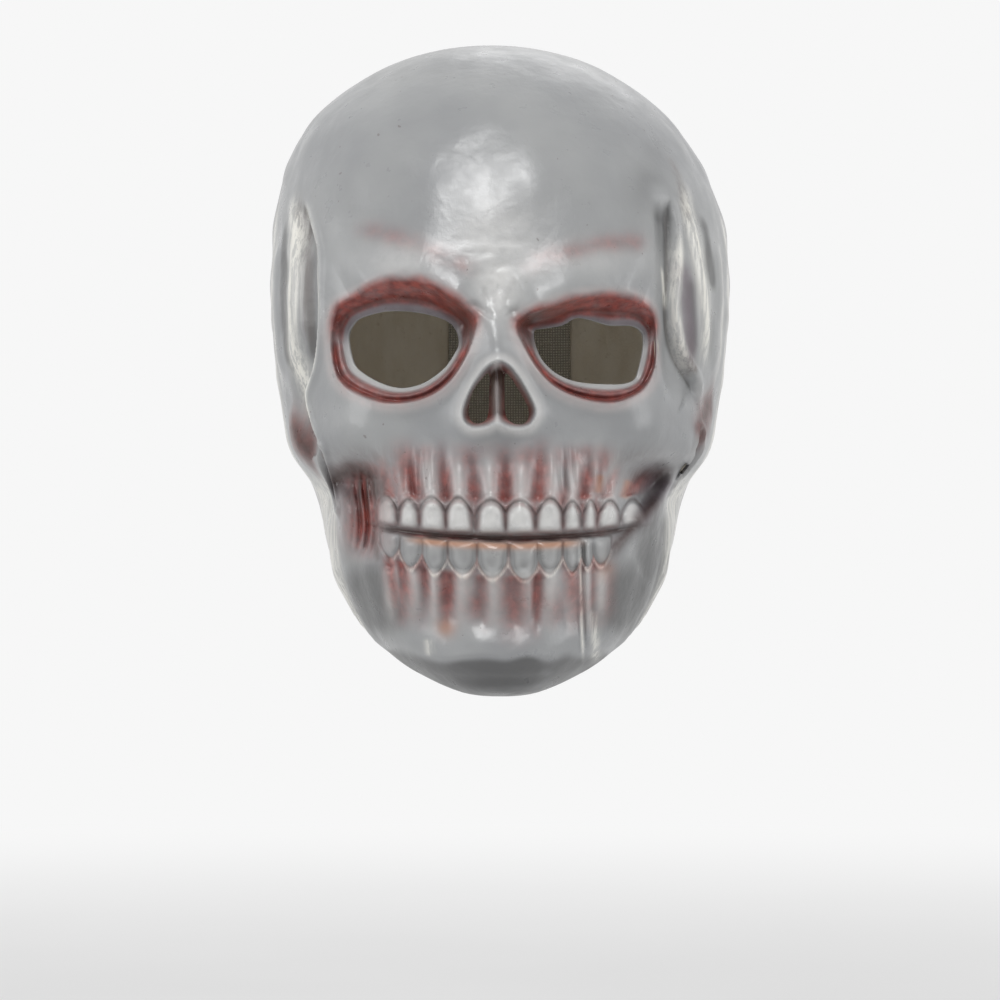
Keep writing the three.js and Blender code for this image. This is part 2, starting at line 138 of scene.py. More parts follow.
# The red-brown troughs between the roots: (x at the gum, x at the far end, far end's z, half width, strength)
UPPER_TROUGHS = [
    (-40.5, -44, -41, 2.6, 0.8), (-31.5, -35.5, -36, 3.4, 0.9), (-19.6, -21, -37, 2.6, 0.75),
    (-8.6, -10.5, -38, 3, 0.55), (2, 1.6, -38, 3.2, 0.9), (14, 15, -36, 3.3, 0.85),
    (31, 33.5, -39, 3, 0.8), (38.5, 43, -43, 2.2, 0.6), (48, 54, -46, 2.8, 0.8),
]
LOWER_TROUGHS = [
    (-41, -38.5, -97, 2, 0.8), (-36.5, -33, -98, 2.4, 0.8), (-28, -26.5, -97, 1.9, 0.7),
    (-19.3, -19.5, -102, 3, 0.9), (-7, -6, -102, 2.8, 0.6), (5, 6, -106, 4.6, 0.75),
    (13.8, 13, -104, 2.2, 0.8), (26.4, 27.5, -102, 2.6, 0.75),
]
BROWS = [
    [(-7.3, 10.7), (-13.9, 18), (-22, 23.9), (-33, 28), (-44.7, 27.2), (-56.8, 21)],
    [(5.1, 10), (14.7, 16.5), (27.5, 21.8), (42.1, 23.6), (54.2, 20.2)],
]

# Wrinkles above the nose: depth and the places that each follows.
GLABELLA_LINES = [
    (0.8, [(-13, 14), (-9, 15.5), (-4, 12), (-1, 10)]), (0.6, [(0, 10.5), (4, 13), (9, 15)]),
    (0.5, [(-7, 24), (-5.5, 18), (-3, 13)]), (0.4, [(6, 26), (4, 20), (1.5, 14)]),
    (0.2, [(-13, 25), (-5, 27), (2, 25.5)]), (0.22, [(-9, 31), (-2, 29.6), (6, 31)]),
    (0.2, [(-17, 35), (-8, 34.4), (-1, 36)]), (0.16, [(-4, 40), (6, 39), (13, 40.5)]),
]
# Groups of strands: middle, lowest and highest z, half width and height.
STRANDS = [
    (-31, -54, -40, 4.5, 0.75), (25, -53, -39, 4, 0.75), (-50, -74, -46, 4.5, 1.3), (37, -56, -44, 4, 0.5),
]
OBLIQUE = [(66, -50.5), (58, -61), (49, -70.5), (37, -86)]
CREASE = [(30.2, -69), (30.6, -93), (31.4, -117)]
CHIN_LINE = [(34, -112), (24, -114.5), (12, -112.5), (2, -113.5), (-9, -111.5), (-20, -114), (-32, -112)]
# On the sides, places are (turn from the face in 1/100 radian, z), after the side's sign of x.
PLATE_EDGES = [
    (-1, [(92, 60), (80, 48), (73, 36), (71.5, 20), (72, 6), (77, -7), (84, -17), (82, -27), (76, -37),
          (77, -46)]),
    (1, [(74, 60), (71, 44), (69, 32), (66.8, 18), (68, 8), (72, 0), (79.5, -6.5), (88, -13), (92, -24)]),
]
SIDE_FOLDS = [
    (-1, [(106, 62), (95, 50), (91, 36), (91, 20), (93, 5), (91, -8), (89, -20)]),
    (-1, [(112, 46), (114, 20), (110, -12)]),
    (1, [(88, 66), (82, 50), (84, 34), (87, 20), (90, 6), (90, -8)]),
    (1, [(104, 44), (106, 20), (102, -10)]),
]
SLITS = [(-1, [(77, -39), (79.5, -47.5), (80.5, -57)]), (1, [(94, -31), (97, -42), (95, -50)])]

BROW_SMUDGES = [
    ([(-56, 46), (-38, 41), (-24, 35), (-6, 27)], 0.34), ([(6, 28), (20, 34), (36, 38), (58, 41)], 0.4),
]
# Brush strokes on the sides: sign of x, strength, width, and the places that the stroke follows.
IVORY_STROKES = [
    (-1, 0.95, 5, [(106, 62), (95, 50), (91, 36), (91, 20), (93, 5), (91, -8), (89, -20), (82, -28)]),
    (-1, 0.7, 2.4, [(90, 56), (80, 46), (75, 36)]),
    (-1, 0.95, 1.0, [(76, 42), (72.2, 30), (71.6, 14), (75, -4), (83, -17), (81, -28), (75.5, -38)]),
    (-1, 0.6, 3, [(118, 50), (120, 20), (116, -16)]),
    (1, 0.95, 2.2, [(74, 46), (70.5, 33), (68.3, 20), (69.5, 8), (74, -1), (82, -9)]),
    (1, 0.95, 4.5, [(88, 66), (82, 50), (84, 34), (87, 20), (90, 6), (90, -8)]),
    (1, 0.9, 0.9, [(63.5, 32), (64.5, 22), (65, 14)]),
    (1, 0.5, 3, [(108, 44), (112, 10), (108, -14)]),
]
GRIME_STROKES = [
    (-1, 0.5, 3.4, [(98, 62), (87, 46), (83, 30), (82, 10), (80, -3)]),
    (1, 0.45, 3, [(86, 76), (82, 60), (79, 48)]),
    (1, 0.85, 2.6, [(75, 6), (79, -3), (84, -9)]),
]
# SHADE_STROKES are bands of painted shade down the sides, in the same form.
SHADE_STROKES = [
    (-1, 1.2, 4.6, [(106, 54), (102, 36), (101, 15), (98, 0), (97, -12)]),
    (-1, 0.8, 3, [(82, 40), (81, 20), (80, 4), (84, -6)]),
    (1, 0.9, 4, [(94, 54), (94, 38), (97, 22)]), (1, 0.8, 3.4, [(76, 30), (78, 10), (81, -4)]),
]
EAR_STROKES = [
    (-1, 1.0, 8, [(112, -26), (98, -33), (86, -41)]), (1, 1.0, 6.5, [(114, -17), (99, -24), (91, -35)]),
]
MAUVE_STROKES = [(1, 0.95, 4.6, [(72.5, 36), (74.5, 22), (75.5, 10), (78, 0), (82, -6)])]


# ---------------------------------------------------------------- shaping functions
def smooth(low, high, value):
    t = np.clip((value - low) / (high - low), 0, 1)
    return t * t * (3 - 2 * t)


def bell(value, width):
    return np.exp(-((value / width) ** 2))


def closed_curve(points, steps=5):
    """Points of a Catmull-Rom curve through a ring of points."""
    p = np.array(points, float)
    a, b, c, d = np.roll(p, 1, 0), p, np.roll(p, -1, 0), np.roll(p, -2, 0)
    f = (np.arange(steps) / steps)[None, :, None]
    a, b, c, d = (q[:, None, :] for q in (a, b, c, d))
    curve = b + 0.5 * f * (c - a + f * (2 * a - 5 * b + 4 * c - d + f * (3 * b - a - 3 * c + d)))
    return curve.reshape(-1, 2)


def open_curve(points, steps=5):
    """Points of a Catmull-Rom curve from the first point to the last."""
    p = np.array(points, float)
    p = np.vstack([2 * p[0] - p[1], p, 2 * p[-1] - p[-2]])
    f = (np.arange(steps) / steps)[None, :, None]
    a, b, c, d = (q[:, None, :] for q in (p[:-3], p[1:-2], p[2:-1], p[3:]))
    curve = b + 0.5 * f * (c - a + f * (2 * a - 5 * b + 4 * c - d + f * (3 * b - a - 3 * c + d)))
    return np.vstack([curve.reshape(-1, 2), p[-2:-1]])


def to_line(line, x, z, reach):
    """Distance from each point to a line of points, the side it is on, and how far along the line it is.
    Points further than reach from the line's box get the distance reach."""
    distance = np.full(x.shape, float(reach))
    side = np.ones(x.shape)
    along = np.zeros(x.shape)
    near = (x > line[:, 0].min() - reach) & (x < line[:, 0].max() + reach)
    near &= (z > line[:, 1].min() - reach) & (z < line[:, 1].max() + reach)
    px, pz = x[near], z[near]
    best, left, run = np.full(px.shape, float(reach)), np.ones(px.shape), np.zeros(px.shape)
    spans = np.hypot(*np.diff(line, axis=0).T)
    starts = np.concatenate([[0], np.cumsum(spans)])
    for a, b, span, start in zip(line[:-1], line[1:], spans, starts):
        ex, ez = (b - a) / max(span, 1e-9)
        dx, dz = px - a[0], pz - a[1]
        t = np.clip(dx * ex + dz * ez, 0, span)
        d = np.hypot(dx - t * ex, dz - t * ez)
        nearer = d < best
        best[nearer] = d[nearer]
        left[nearer] = np.where(ex * dz - ez * dx >= 0, 1, -1)[nearer]
        run[nearer] = ((start + t) / starts[-1])[nearer]
    distance[near], side[near], along[near] = best, left, run
    return distance, side, along


def outside(outline, x, z, reach=16):
    """Signed distance to a closed outline, negative inside it."""
    ring = np.vstack([outline, outline[:1]])
    distance, _, _ = to_line(ring, x, z, reach)
    inside = np.zeros(x.shape, bool)
    near = (x > ring[:, 0].min()) & (x < ring[:, 0].max()) & (z > ring[:, 1].min()) & (z < ring[:, 1].max())
    px, pz = x[near], z[near]
    odd = np.zeros(px.shape, bool)
    for (ax, az), (bx, bz) in zip(ring[:-1], ring[1:]):
        if az != bz:
            odd ^= ((az > pz) != (bz > pz)) & (px < ax + (pz - az) * (bx - ax) / (bz - az))
    inside[near] = odd
    return np.where(inside, -distance, distance)


def smooth_min(a, b, k):
    h = np.clip(0.5 + 0.5 * (b - a) / k, 0, 1)
    return b + (a - b) * h - k * h * (1 - h)


def ripple(x, z, seed, count=7, wave=9.0):
    """Soft irregular unevenness between about -1 and 1, made of a few waves."""
    random = np.random.default_rng(seed)
    total = np.zeros(np.shape(x))
    for _ in range(count):
        angle = random.uniform(0, math.pi)
        size, phase = wave * random.uniform(0.6, 1.9), random.uniform(0, 6.28)
        total += np.sin((x * math.cos(angle) + z * math.sin(angle)) * 2 * math.pi / size + phase)
    return total / math.sqrt(count)


eye_holes = [closed_curve(points) for points in EYE_HOLES]
eye_rims = [closed_curve(points) for points in EYE_RIMS]
nose_rim = closed_curve(NOSE_RIM)
nostrils = [closed_curve(points) for points in NOSTRILS]
brows = [open_curve(points) for points in BROWS]
oblique_line = open_curve(OBLIQUE)
crease_line = open_curve(CREASE)
chin_line = open_curve(CHIN_LINE)
plate_edges = [(sign, open_curve(points)) for sign, points in PLATE_EDGES]
side_folds = [(sign, open_curve(points)) for sign, points in SIDE_FOLDS]
slits = [(sign, open_curve(points)) for sign, points in SLITS]


def bite_line(x):
    return -70 + 0.0016 * (x - 4) ** 2


# ---------------------------------------------------------------- the head form
def section_at(t):
    """Rows of SECTIONS in between, by Catmull-Rom interpolation. The ends close as round caps."""
    cap = [1, -1, -1, -1, 1]
    rows = np.vstack([SECTIONS[1] * cap, SECTIONS, SECTIONS[-2] * cap])
    place = np.clip(t, 0, 1) * (len(SECTIONS) - 1)
    i = np.minimum(place.astype(int), len(SECTIONS) - 2)
    f = (place - i)[:, None]
    a, b, c, d = (rows[i + k] for k in range(4))
    return b + 0.5 * f * (c - a + f * (2 * a - 5 * b + 4 * c - d + f * (3 * b - a - 3 * c + d)))


def head_form(turn, t):
    """Points of the smooth head form. turn is 0 at the face and grows towards the wearer's left."""
    z, half, front, back, square = section_at(t).T
    s, c = np.sin(turn), np.cos(turn)
    mix = smooth(-0.2, 0.2, c)
    power = BACK_SQUARENESS + (square - BACK_SQUARENESS) * mix
    reach = np.where(c > 0, front, back)
    half, reach = np.maximum(np.abs(half), 1e-3), np.maximum(np.abs(reach), 1e-3)
    radius = ((np.abs(s) / half) ** power + (np.abs(c) / reach) ** power) ** (-1 / power)
    x = radius * s + CROWN_LEAN * smooth(40, 100, z)
    return np.column_stack([x, -radius * c, z])


# ---------------------------------------------------------------- the face's relief, forward from the form
def profile(share, *knots):
    """A smooth curve through (share, height) knots, level at each of them."""
    places, heights = zip(*knots)
    height = np.full(share.shape, float(heights[0]))
    for (low, start), (high, end) in zip(knots[:-1], knots[1:]):
        height = height + (end - start) * smooth(low, high, share)
    return height


class Orbit:
    """One eye: how far each point is from the opening and from the socket's rim."""

    def __init__(self, index, x, z):
        self.hole = outside(eye_holes[index], x, z)
        self.rim = outside(eye_rims[index], x, z)
        span = np.maximum(np.maximum(self.hole, 0) - np.minimum(self.rim, 0), 1e-6)
        # 0 at the opening, 1 at the rim
        self.share = np.where(self.rim < 0, np.maximum(self.hole, 0) / span, 1)
        self.wide = smooth(3, 5.5, span)  # 0 where the ring between them is too narrow for a groove
        self.upper = smooth(-3, 11, z)
        self.inner = smooth(48, 12, np.abs(x))

    def relief(self, detail):
        """Below and beside the opening a lip, a rounded ridge and a groove; above it one deep overhang."""
        s = self.share
        lower = profile(s, (0, -6.6), (0.6, -5.2), (1, -0.4))
        if detail:
            grooved = profile(s, (0, -6.6), (0.2, -5.8), (0.52, -2.4), (0.78, -3.7), (1, 0))
            lower = lower + (grooved - lower) * self.wide
        upper = profile(s, (0, -9.8), (0.32, -8.6), (1, 0))
        ring = (lower + (upper - lower) * self.upper) * (0.85 + 0.5 * self.inner)
        beyond = np.maximum(self.rim, 0)
        crest = 1.5 * bell(beyond, 3.4) * (1 - 0.6 * self.upper)
        crest = crest * np.where(self.rim < 0, smooth(0.7, 1, s), 1)
        return crest + ring * (self.rim < 0)


def brow_relief(x, z):
    total = 0
    for line in brows:
        d, side, along = to_line(line, x, z, 30)
        above = side * np.sign(line[-1, 0])  # +1 on the forehead's side of the line
        width = np.where(above > 0, 9 + 4 * along, 5.5)
        ends = smooth(1.02, 0.85, along) * smooth(0, 0.24, along)
        total = total + (6.6 - 2.8 * along) * bell(d, width) * ends
    return total


def glabella_relief(x, z):
    total = 0
    for depth, points in GLABELLA_LINES:
        d, _, along = to_line(open_curve(points), x, z, 8)
        fade = smooth(0, 0.3, along) * smooth(1, 0.6, along)
        total = total + depth * fade * (0.5 * bell(d - 2.4, 1.6) - bell(d, 1.3))
    return total


def nose_relief(x, z):
    ridge = -2.4 + 1.4 * smooth(15, -5, z)
    width = 7 + 3 * smooth(6, -8, z) + 6 * smooth(-10, -26, z)
    height = 10.5 * smooth(24, -3, z) * smooth(-44, -24, z)
    total = height * bell(x - ridge, width)
    d = outside(nose_rim, x, z)
    total = total + (1.5 + 1.3 * smooth(-22, -6, z)) * bell(np.maximum(d, 0), 2.8) * smooth(-0.8, 0.3, d)
    septum = bell(x + 1.2 + 0.02 * (z + 15), 1.6) * smooth(-34, -25, z)
    return total - 9 * smooth(0.2, 3.6, -d) * (1 - 0.72 * septum)


def cheek_edge(side):
    """Height of the cheekbones' lower edge."""
    return -42.5 + 0.1 * (side - 56)


def cheek_relief(x, z):
    """The cheekbones, hard-edged below, the deep hollows under them, and the right one's bed of sinews."""
    side = np.abs(x)
    edge = cheek_edge(side)
    bone = 8 * bell(side - 54, 16) * bell(z + 29, 13) * smooth(edge - 2.5, edge + 2.5, z)
    hollow = 10.5 * bell(side - 56.5, 9) * bell(z - edge + 6.5, 7.5)
    sinews = 4.5 * bell(x + 49.5, 5) * smooth(-44, -49, z) * smooth(-80, -73, z)
    return bone - hollow - sinews


def jaw_relief(x, z):
    side = np.abs(x)
    arch = 4.6 * smooth(54, 38, side) * smooth(-24, -54, z) * smooth(-100, -82, z)
    fold = -2.2 * bell(z + 101, 9) * smooth(48, 26, side)
    chin = 3.6 * bell(x - 1, 28) * bell(z + 113, 9.5)
    ledge = np.interp(x, *chin_line.T[:, ::-1])
    chin = chin - 1.8 * smooth(-1, 5, ledge - z) * smooth(40, 26, np.abs(x - 1)) * smooth(-131, -121, z)
    cleft = -0.6 * bell(x - 2, 5) * bell(z + 112, 8)
    ramus = 4 * bell(x + 61, 4.5) * smooth(-46, -56, z) * smooth(-96, -80, z)
    ridge, side_of, along = to_line(oblique_line, x, z, 20)
    oblique = (6.4 - 4 * along) * bell(ridge, 4.2) * smooth(1, 0.7, along)
    trough = -5.2 * bell(ridge - 7.5, 3.8) * (side_of < 0) * smooth(0.85, 0.4, along)
    return arch + fold + chin + cleft + ramus + oblique + trough


def trough_place(trough, x, z, gum):
    """Distance across a trough, and the share of the way from the gum to its far end."""
    x_gum, x_far, z_far, _, _ = trough
    share = np.clip((z - gum) / (z_far - gum), -0.3, 1.3)
    return x - (x_gum + (x_far - x_gum) * share), share


def trough_masks(troughs, x, z, gum):
    """How deep in a trough between the roots each point is, and how strongly it is painted there."""
    deep, paint = 0, 0
    for trough in troughs:
        across, share = trough_place(trough, x, z, gum)
        window = smooth(-0.08, 0.1, share) * smooth(1.3, 0.4, share)
        deep = np.maximum(deep, bell(across, trough[3] * 0.9) * window)
        paint = np.maximum(paint, trough[4] * bell(across, trough[3] * 1.35) * window)
    return deep, paint


def root_ridges(x, z):
    """1 along the middle of each root, above the upper teeth and below the lower."""
    ridges = np.zeros(x.shape)
    for centre, width in UPPER_TEETH[:-1]:
        lean = centre * (1 + 0.0045 * (z + 56))
        here = bell(x - lean, width * ROOT_WIDTH) * smooth(-60, -57, z) * smooth(-30, -54, z)
        ridges = np.maximum(ridges, here)
    for centre, width in LOWER_TEETH:
        here = bell(x - centre, width * ROOT_WIDTH) * smooth(-80, -84, z) * smooth(-108, -88, z)
        ridges = np.maximum(ridges, here)
    return ridges


def root_relief(x, z):
    upper, _ = trough_masks(UPPER_TROUGHS, x, z, -57 + 0.0012 * x * x)
    lower, _ = trough_masks(LOWER_TROUGHS, x, z, -83.5 + 0.004 * x * x)
    return 1.7 * root_ridges(x, z) - 2.2 * upper - 2 * lower


def strand_relief(x, z):
    """Fine upright strands of sculpted sinew beside the nose and in the hollow of the right cheek."""
    total = 0
    for centre, low, high, reach, height in STRANDS:
        window = bell(x - centre, reach) * smooth(low - 3, low + 3, z) * smooth(high + 6, high - 7, z)
        bend = 1.2 * np.sin(z * 0.13 + centre)
        phase = (x - centre + bend) * 2 * math.pi / 3.1 + 0.9 * np.sin(z * 0.21 + centre)
        total = total + height * window * np.sin(phase)
    return total


def tooth_inset(x, z):
    """Distance inside the nearest tooth's outline, positive on a tooth, and the place across it, -1 to 1."""
    random = np.random.default_rng(5)
    inset = np.full(x.shape, -9.0)
    across = np.zeros(x.shape)
    for row, teeth in ((1, UPPER_TEETH), (-1, LOWER_TEETH)):
        for centre, width in teeth:
            near = np.abs(x - centre) < width
            px, pz = x[near] - centre, z[near]
            short, tall, lean, arc = random.uniform(-1, 1, 4)
            edge = bite_line(x[near]) + row * (1.1 if row > 0 else 1.4) + 0.35 * short + 0.05 * lean * px
            height = (12.3 - 0.0014 * centre**2) if row > 0 else (12.7 - 0.0024 * centre**2)
            height = height + 0.7 * tall
            px = px + 0.06 * lean * (pz - edge)
            far = height - row * (pz - edge)
            along = np.clip(1 - far / height, 0, 1)  # 0 at the bite, 1 at the gum
            half = width / 2 * (1.02 - 0.2 * along**2)
            sides = half - np.abs(px)
            gum = far - (3.9 + 0.8 * arc) * np.abs(px / half) ** 2.1
            d = smooth_min(smooth_min(sides, gum, 1.9), row * (pz - edge), 1.5)
            best = d > inset[near]
            inset[near] = np.where(best, d, inset[near])
            across[near] = np.where(best, px / half, across[near])
    return inset, across


def tooth_relief(x, z):
    inset, across = tooth_inset(x, z)
    row = np.where(z > bite_line(x), 1, 0.62)
    crown = 1 - 0.34 * across**2 + 0.07 * ripple(x, z, 3, wave=7)
    standing = 3.4 * row * profile(inset, (-0.9, 0), (3.2, 1)) * crown
    off_bite = smooth(4, 7, np.abs(z - bite_line(x)))
    gum = 1.0 * bell(inset + 1.9, 1.1) * smooth(56, 46, np.abs(x)) * off_bite
    bite = -1.8 * bell(z - bite_line(x), 1.2) * smooth(54, 44, np.abs(x))
    return standing + gum + bite


def crease_relief(x, z):
    """The pinched upright fold in the latex beside the chin."""
    d, side, along = to_line(crease_line, x, z, 8)
    fade = smooth(0, 0.1, along) * smooth(1, 0.75, along)
    across = d * side
    return fade * (bell(across + 1, 0.6) - bell(across - 0.5, 0.7) + 0.6 * bell(across - 2.4, 0.8))


def face_relief(x, z, detail=True):
    """How far the face stands forward of the head form."""
    total = brow_relief(x, z) + nose_relief(x, z) + cheek_relief(x, z) + jaw_relief(x, z)
    for index in (0, 1):
        total = total + Orbit(index, x, z).relief(detail)
    if detail:
        total = total + glabella_relief(x, z) + root_relief(x, z) + strand_relief(x, z)
        total = total + tooth_relief(x, z) + crease_relief(x, z)
        return total + 0.1 * ripple(x, z, 11, wave=16) + 0.45 * ripple(x, z, 12, wave=46)
    mouth = smooth(56, 46, np.abs(x)) * smooth(-34, -42, z) * smooth(-108, -100, z)
    return total - 2.2 * mouth


# ---------------------------------------------------------------- the sides' relief, out from the form
def turned(turn):
    """Turn from the face as a length in millimetres, positive on both sides, for a head of 100 mm radius."""
    return 100 * np.abs((turn + math.pi) % (2 * math.pi) - math.pi)


def side_lines(x, u, z, lines, reach):
    """The nearest line on each point's side of the head: distance, side of it, and way along it."""
    best = [np.full(u.shape, float(reach)), np.ones(u.shape), np.zeros(u.shape)]
    for sign, points in lines:
        here = (x * sign > 0) & (u < 200)
        found = to_line(points, u[here], z[here], reach)
        nearer = found[0] < best[0][here]
        for held, new in zip(best, found):
            held[here] = np.where(nearer, new, held[here])
    return best


def side_relief(x, y, z, turn, detail=True):
    """How far the side of the head stands out from the form. Behind the face's hard edge lies the temple."""
    u = turned(turn)
    d, side_of, along = side_lines(x, u, z, plate_edges, 40)
    behind = d * side_of * np.sign(-x)  # positive towards the back of the head
    ends = smooth(0, 0.14, along) * smooth(1, 0.82, along)
    step = ends * (-4.2 * smooth(-0.6, 2.2, behind) * smooth(20, 5, behind) + 0.9 * bell(behind + 1.6, 1.8))
    d, _, along = side_lines(x, u, z, side_folds, 20)
    fold = 1.5 * bell(d, 3) * smooth(0, 0.2, along) * smooth(1, 0.8, along)
    d, _, along = side_lines(x, u, z, slits, 12)
    slit = -4.5 * bell(d, 1.8) * smooth(0, 0.3, along) * smooth(1, 0.7, along) + 1.2 * bell(d - 3.6, 1.6)
    hollow = -4 * bell(y + 42, 17) * bell(z + 56, 8)
    angle = 1.4 * bell(y + 34, 17) * bell(z + 86, 15)
    ear = -1.6 * bell(u - 102, 12) * bell(z + 18, 5) + 1.3 * bell(u - 104, 16) * bell(z + 32, 7)
    total = (step + fold * 0.8) * (y < 0) + slit + hollow + angle + ear
    if detail:
        total = total + 0.35 * ripple(u, z, 21, wave=26)
        total = total + 0.12 * ripple(u, 0.25 * z, 22, wave=7) * smooth(70, 90, u)
    return total * smooth(112, 84, z)


# ---------------------------------------------------------------- sampling the skin
def spread(fine, weight):
    """Values of fine, spaced so that each step holds an equal share of the weight."""
    total = np.concatenate([[0], np.cumsum(0.5 * (weight[1:] + weight[:-1]) * np.diff(fine))])
    return np.interp(np.linspace(0, total[-1], int(round(total[-1])) + 1), total, fine)


def columns(low, high, front_step, side_step, back_step):
    """Turns from low to high, closer together on the face."""
    fine = np.linspace(low, high, 4000)
    p = head_form(fine, np.full(fine.shape, 0.6))
    length = np.hypot(np.gradient(p[:, 0]), np.gradient(p[:, 1])) / np.gradient(fine)
    side = np.abs(p[:, 0])
    step = front_step + (side_step - front_step) * smooth(56, 62, side)
    step = np.where(p[:, 1] > -62, back_step, step)
    return spread(fine, length / step)


def rows(low, high, steps):
    """Shares of the way down, from height low to high, each stretch of height with its own step."""
    fine = np.linspace(0.0004, 0.999, 4000)
    section = section_at(fine)
    length = np.hypot(np.gradient(section[:, 0]), np.gradient(section[:, 2])) / np.gradient(fine)
    step = np.interp(section[:, 0], *zip(*steps))
    keep = (section[:, 0] <= high) & (section[:, 0] >= low)
    return spread(fine[keep], (length / step)[keep])


class Sheet:
    """A grid of points on the skin that can be cut along any field, with its paint."""

    def __init__(self, turns, shares, depth=0.0, detail=True):
        self.turn, self.share = (a.ravel() for a in np.meshgrid(turns, shares, indexing="ij"))
        self.depth, self.detail = depth, detail
        m, n = len(turns), len(shares)
        corner = (np.arange(m - 1)[:, None] * n + np.arange(n - 1)[None, :]).ravel()
        self.quads = np.column_stack([corner, corner + 1, corner + n + 1, corner + n])
        self.tris = np.zeros((0, 3), int)
        if turns[-1] - turns[0] > 6:
            self.join_round(m, n)

    def join_round(self, m, n):
        """Joins the last of m columns to the first, and closes the pole."""
        last, first = (m - 1) * n + np.arange(n - 1), np.arange(n - 1)
        self.quads = np.vstack([self.quads, np.column_stack([last, last + 1, first + 1, first])])
        ring = np.arange(1, m - 1) * n
        self.tris = np.column_stack([0 * ring, ring, ring + n])

    def form(self):
        return head_form(self.turn, self.share)

    def edges(self):
        """Each edge of the faces once, as a pair of points."""
        sides = [self.quads[:, [k, (k + 1) % 4]] for k in range(4)]
        sides += [self.tris[:, [k, (k + 1) % 3]] for k in range(3)]
        return np.unique(np.sort(np.vstack(sides), axis=1), axis=0)

    def cut(self, field):
        """Keeps the part where field(form points) is above 0, moving the nearest points onto its edge."""
        values = field(self.form())
        quads = self.quads
        edges = self.edges()
        fa, fb = values[edges[:, 0]], values[edges[:, 1]]
        crossing = edges[(fa * fb) < 0]
        fa, fb = values[crossing[:, 0]], values[crossing[:, 1]]
        where = fa / (fa - fb)
        mover = np.where(where < 0.5, crossing[:, 0], crossing[:, 1])
        other = np.where(where < 0.5, crossing[:, 1], crossing[:, 0])
        move = np.minimum(where, 1 - where)
        order = np.argsort(-move)  # the smallest move is written last
        turn, share = self.turn.copy(), self.share.copy()
        m, o, k = mover[order], other[order], move[order]
        turn[m] = self.turn[m] + ((self.turn[o] - self.turn[m] + math.pi) % (2 * math.pi) - math.pi) * k
        share[m] = self.share[m] + (self.share[o] - self.share[m]) * k
        values[m] = 0
        self.turn, self.share = turn, share
        v = values[quads]
        bad = (v.max(1) > 0) & (v.min(1) < 0)
        split = quads[bad]
        vs = values[split]
        first = (vs[:, 0] == 0) & (vs[:, 2] == 0)
        a, b = split[first], split[~first]
        loose = np.vstack([a[:, [0, 1, 2]], a[:, [0, 2, 3]], b[:, [0, 1, 3]], b[:, [1, 2, 3]]])
        self.quads = quads[(v.min(1) >= 0) & (v.max(1) > 0)]
        self.tris = np.vstack([self.tris, loose])
        v = values[self.tris]
        self.tris = self.tris[(v.min(1) >= 0) & (v.max(1) > 0)]
        return self

    def settle(self):
        """Drops unused points, and works out where the rest lie."""
        used = np.unique(np.concatenate([self.quads.ravel(), self.tris.ravel()]))
        index = np.full(len(self.turn), -1)
        index[used] = np.arange(len(used))
        self.quads, self.tris = index[self.quads], index[self.tris]
        self.turn, self.share = self.turn[used], self.share[used]
        self.base = self.form()
        self.points = skin(self.turn, self.share, self.detail)
        self.normals = self.point_normals()
        self.points = self.points - self.depth * self.normals
        return self

    def faces(self):
        return [list(map(int, f)) for f in self.quads] + [list(map(int, f)) for f in self.tris]

    def point_normals(self):
        normals = np.zeros_like(self.points)
        for faces in (self.quads, self.tris):
            if len(faces):
                p = self.points[faces]
                n = np.cross(p[:, 2] - p[:, 0], p[:, -1] - p[:, 1]) if faces.shape[1] == 4 else np.cross(
                    p[:, 1] - p[:, 0], p[:, 2] - p[:, 0])
                for k in range(faces.shape[1]):
                    np.add.at(normals, faces[:, k], n)
        return normals / np.maximum(np.linalg.norm(normals, axis=1), 1e-9)[:, None]


def skin(turn, share, detail=True):
    """Points of the outer skin."""
    base = head_form(turn, share)
    c = np.cos(turn)
    x, y, z = base.T
    facing = smooth(0.12, 0.45, c)
    front = facing > 0
    forward = np.zeros(x.shape)
    forward[front] = face_relief(x[front], z[front], detail) * facing[front]
    out = side_relief(x, y, z, turn, detail) * smooth(0.5, 0.62, np.abs(np.sin(turn)))
    outward = np.column_stack([np.sin(turn), -c, np.zeros(x.shape)])
    points = base + outward * out[:, None]
    points[:, 1] -= forward
    return points


# ---------------------------------------------------------------- edges of the castings
def neck_field(p):
    ring = np.array(NECK_EDGE, float)
    return p[:, 2] - np.interp(p[:, 1], ring[1:, 0], ring[1:, 1], left=-400)


def hole_field(outline):
    def field(p):
        inside = outside(outline, p[:, 0], p[:, 2], reach=6)
        return np.where(p[:, 1] < -40, inside, 6)

    return field


def open_face(sheet, back=0.0):
    """Cuts the eyes, the nostrils, the neck and the seam out of the face's sheet, each that far back."""
    for outline in eye_holes + nostrils:
        field = hole_field(outline)
        sheet.cut(lambda p: field(p) - back)
    sheet.cut(lambda p: neck_field(p) - back)
    sheet.cut(lambda p: SEAM_Y - 2 * SEAM_HALF - back - p[:, 1])
    return sheet.settle()


def open_edges(faces):
    """Directed edges that only one face has: each one's start to its end."""
    seen = {(a, b) for face in faces for a, b in zip(face, face[1:] + face[:1])}
    return {a: b for a, b in seen if (b, a) not in seen}


def loops_of(follow):
    """The closed loops of points that the open edges make."""
    waiting = set(follow)
    loops = []
    while waiting:
        start = min(waiting)
        loop = [start]
        waiting.discard(start)
        here = follow[start]
        while here in waiting:
            loop.append(here)
            waiting.discard(here)
            here = follow[here]
        loops.append(loop)
    return loops


def evened(values, rounds):
    """Values round a closed loop, averaged with their neighbours' a number of times over."""
    for _ in range(rounds):
        values = 0.5 * values + 0.25 * (np.roll(values, 1, 0) + np.roll(values, -1, 0))
    return values


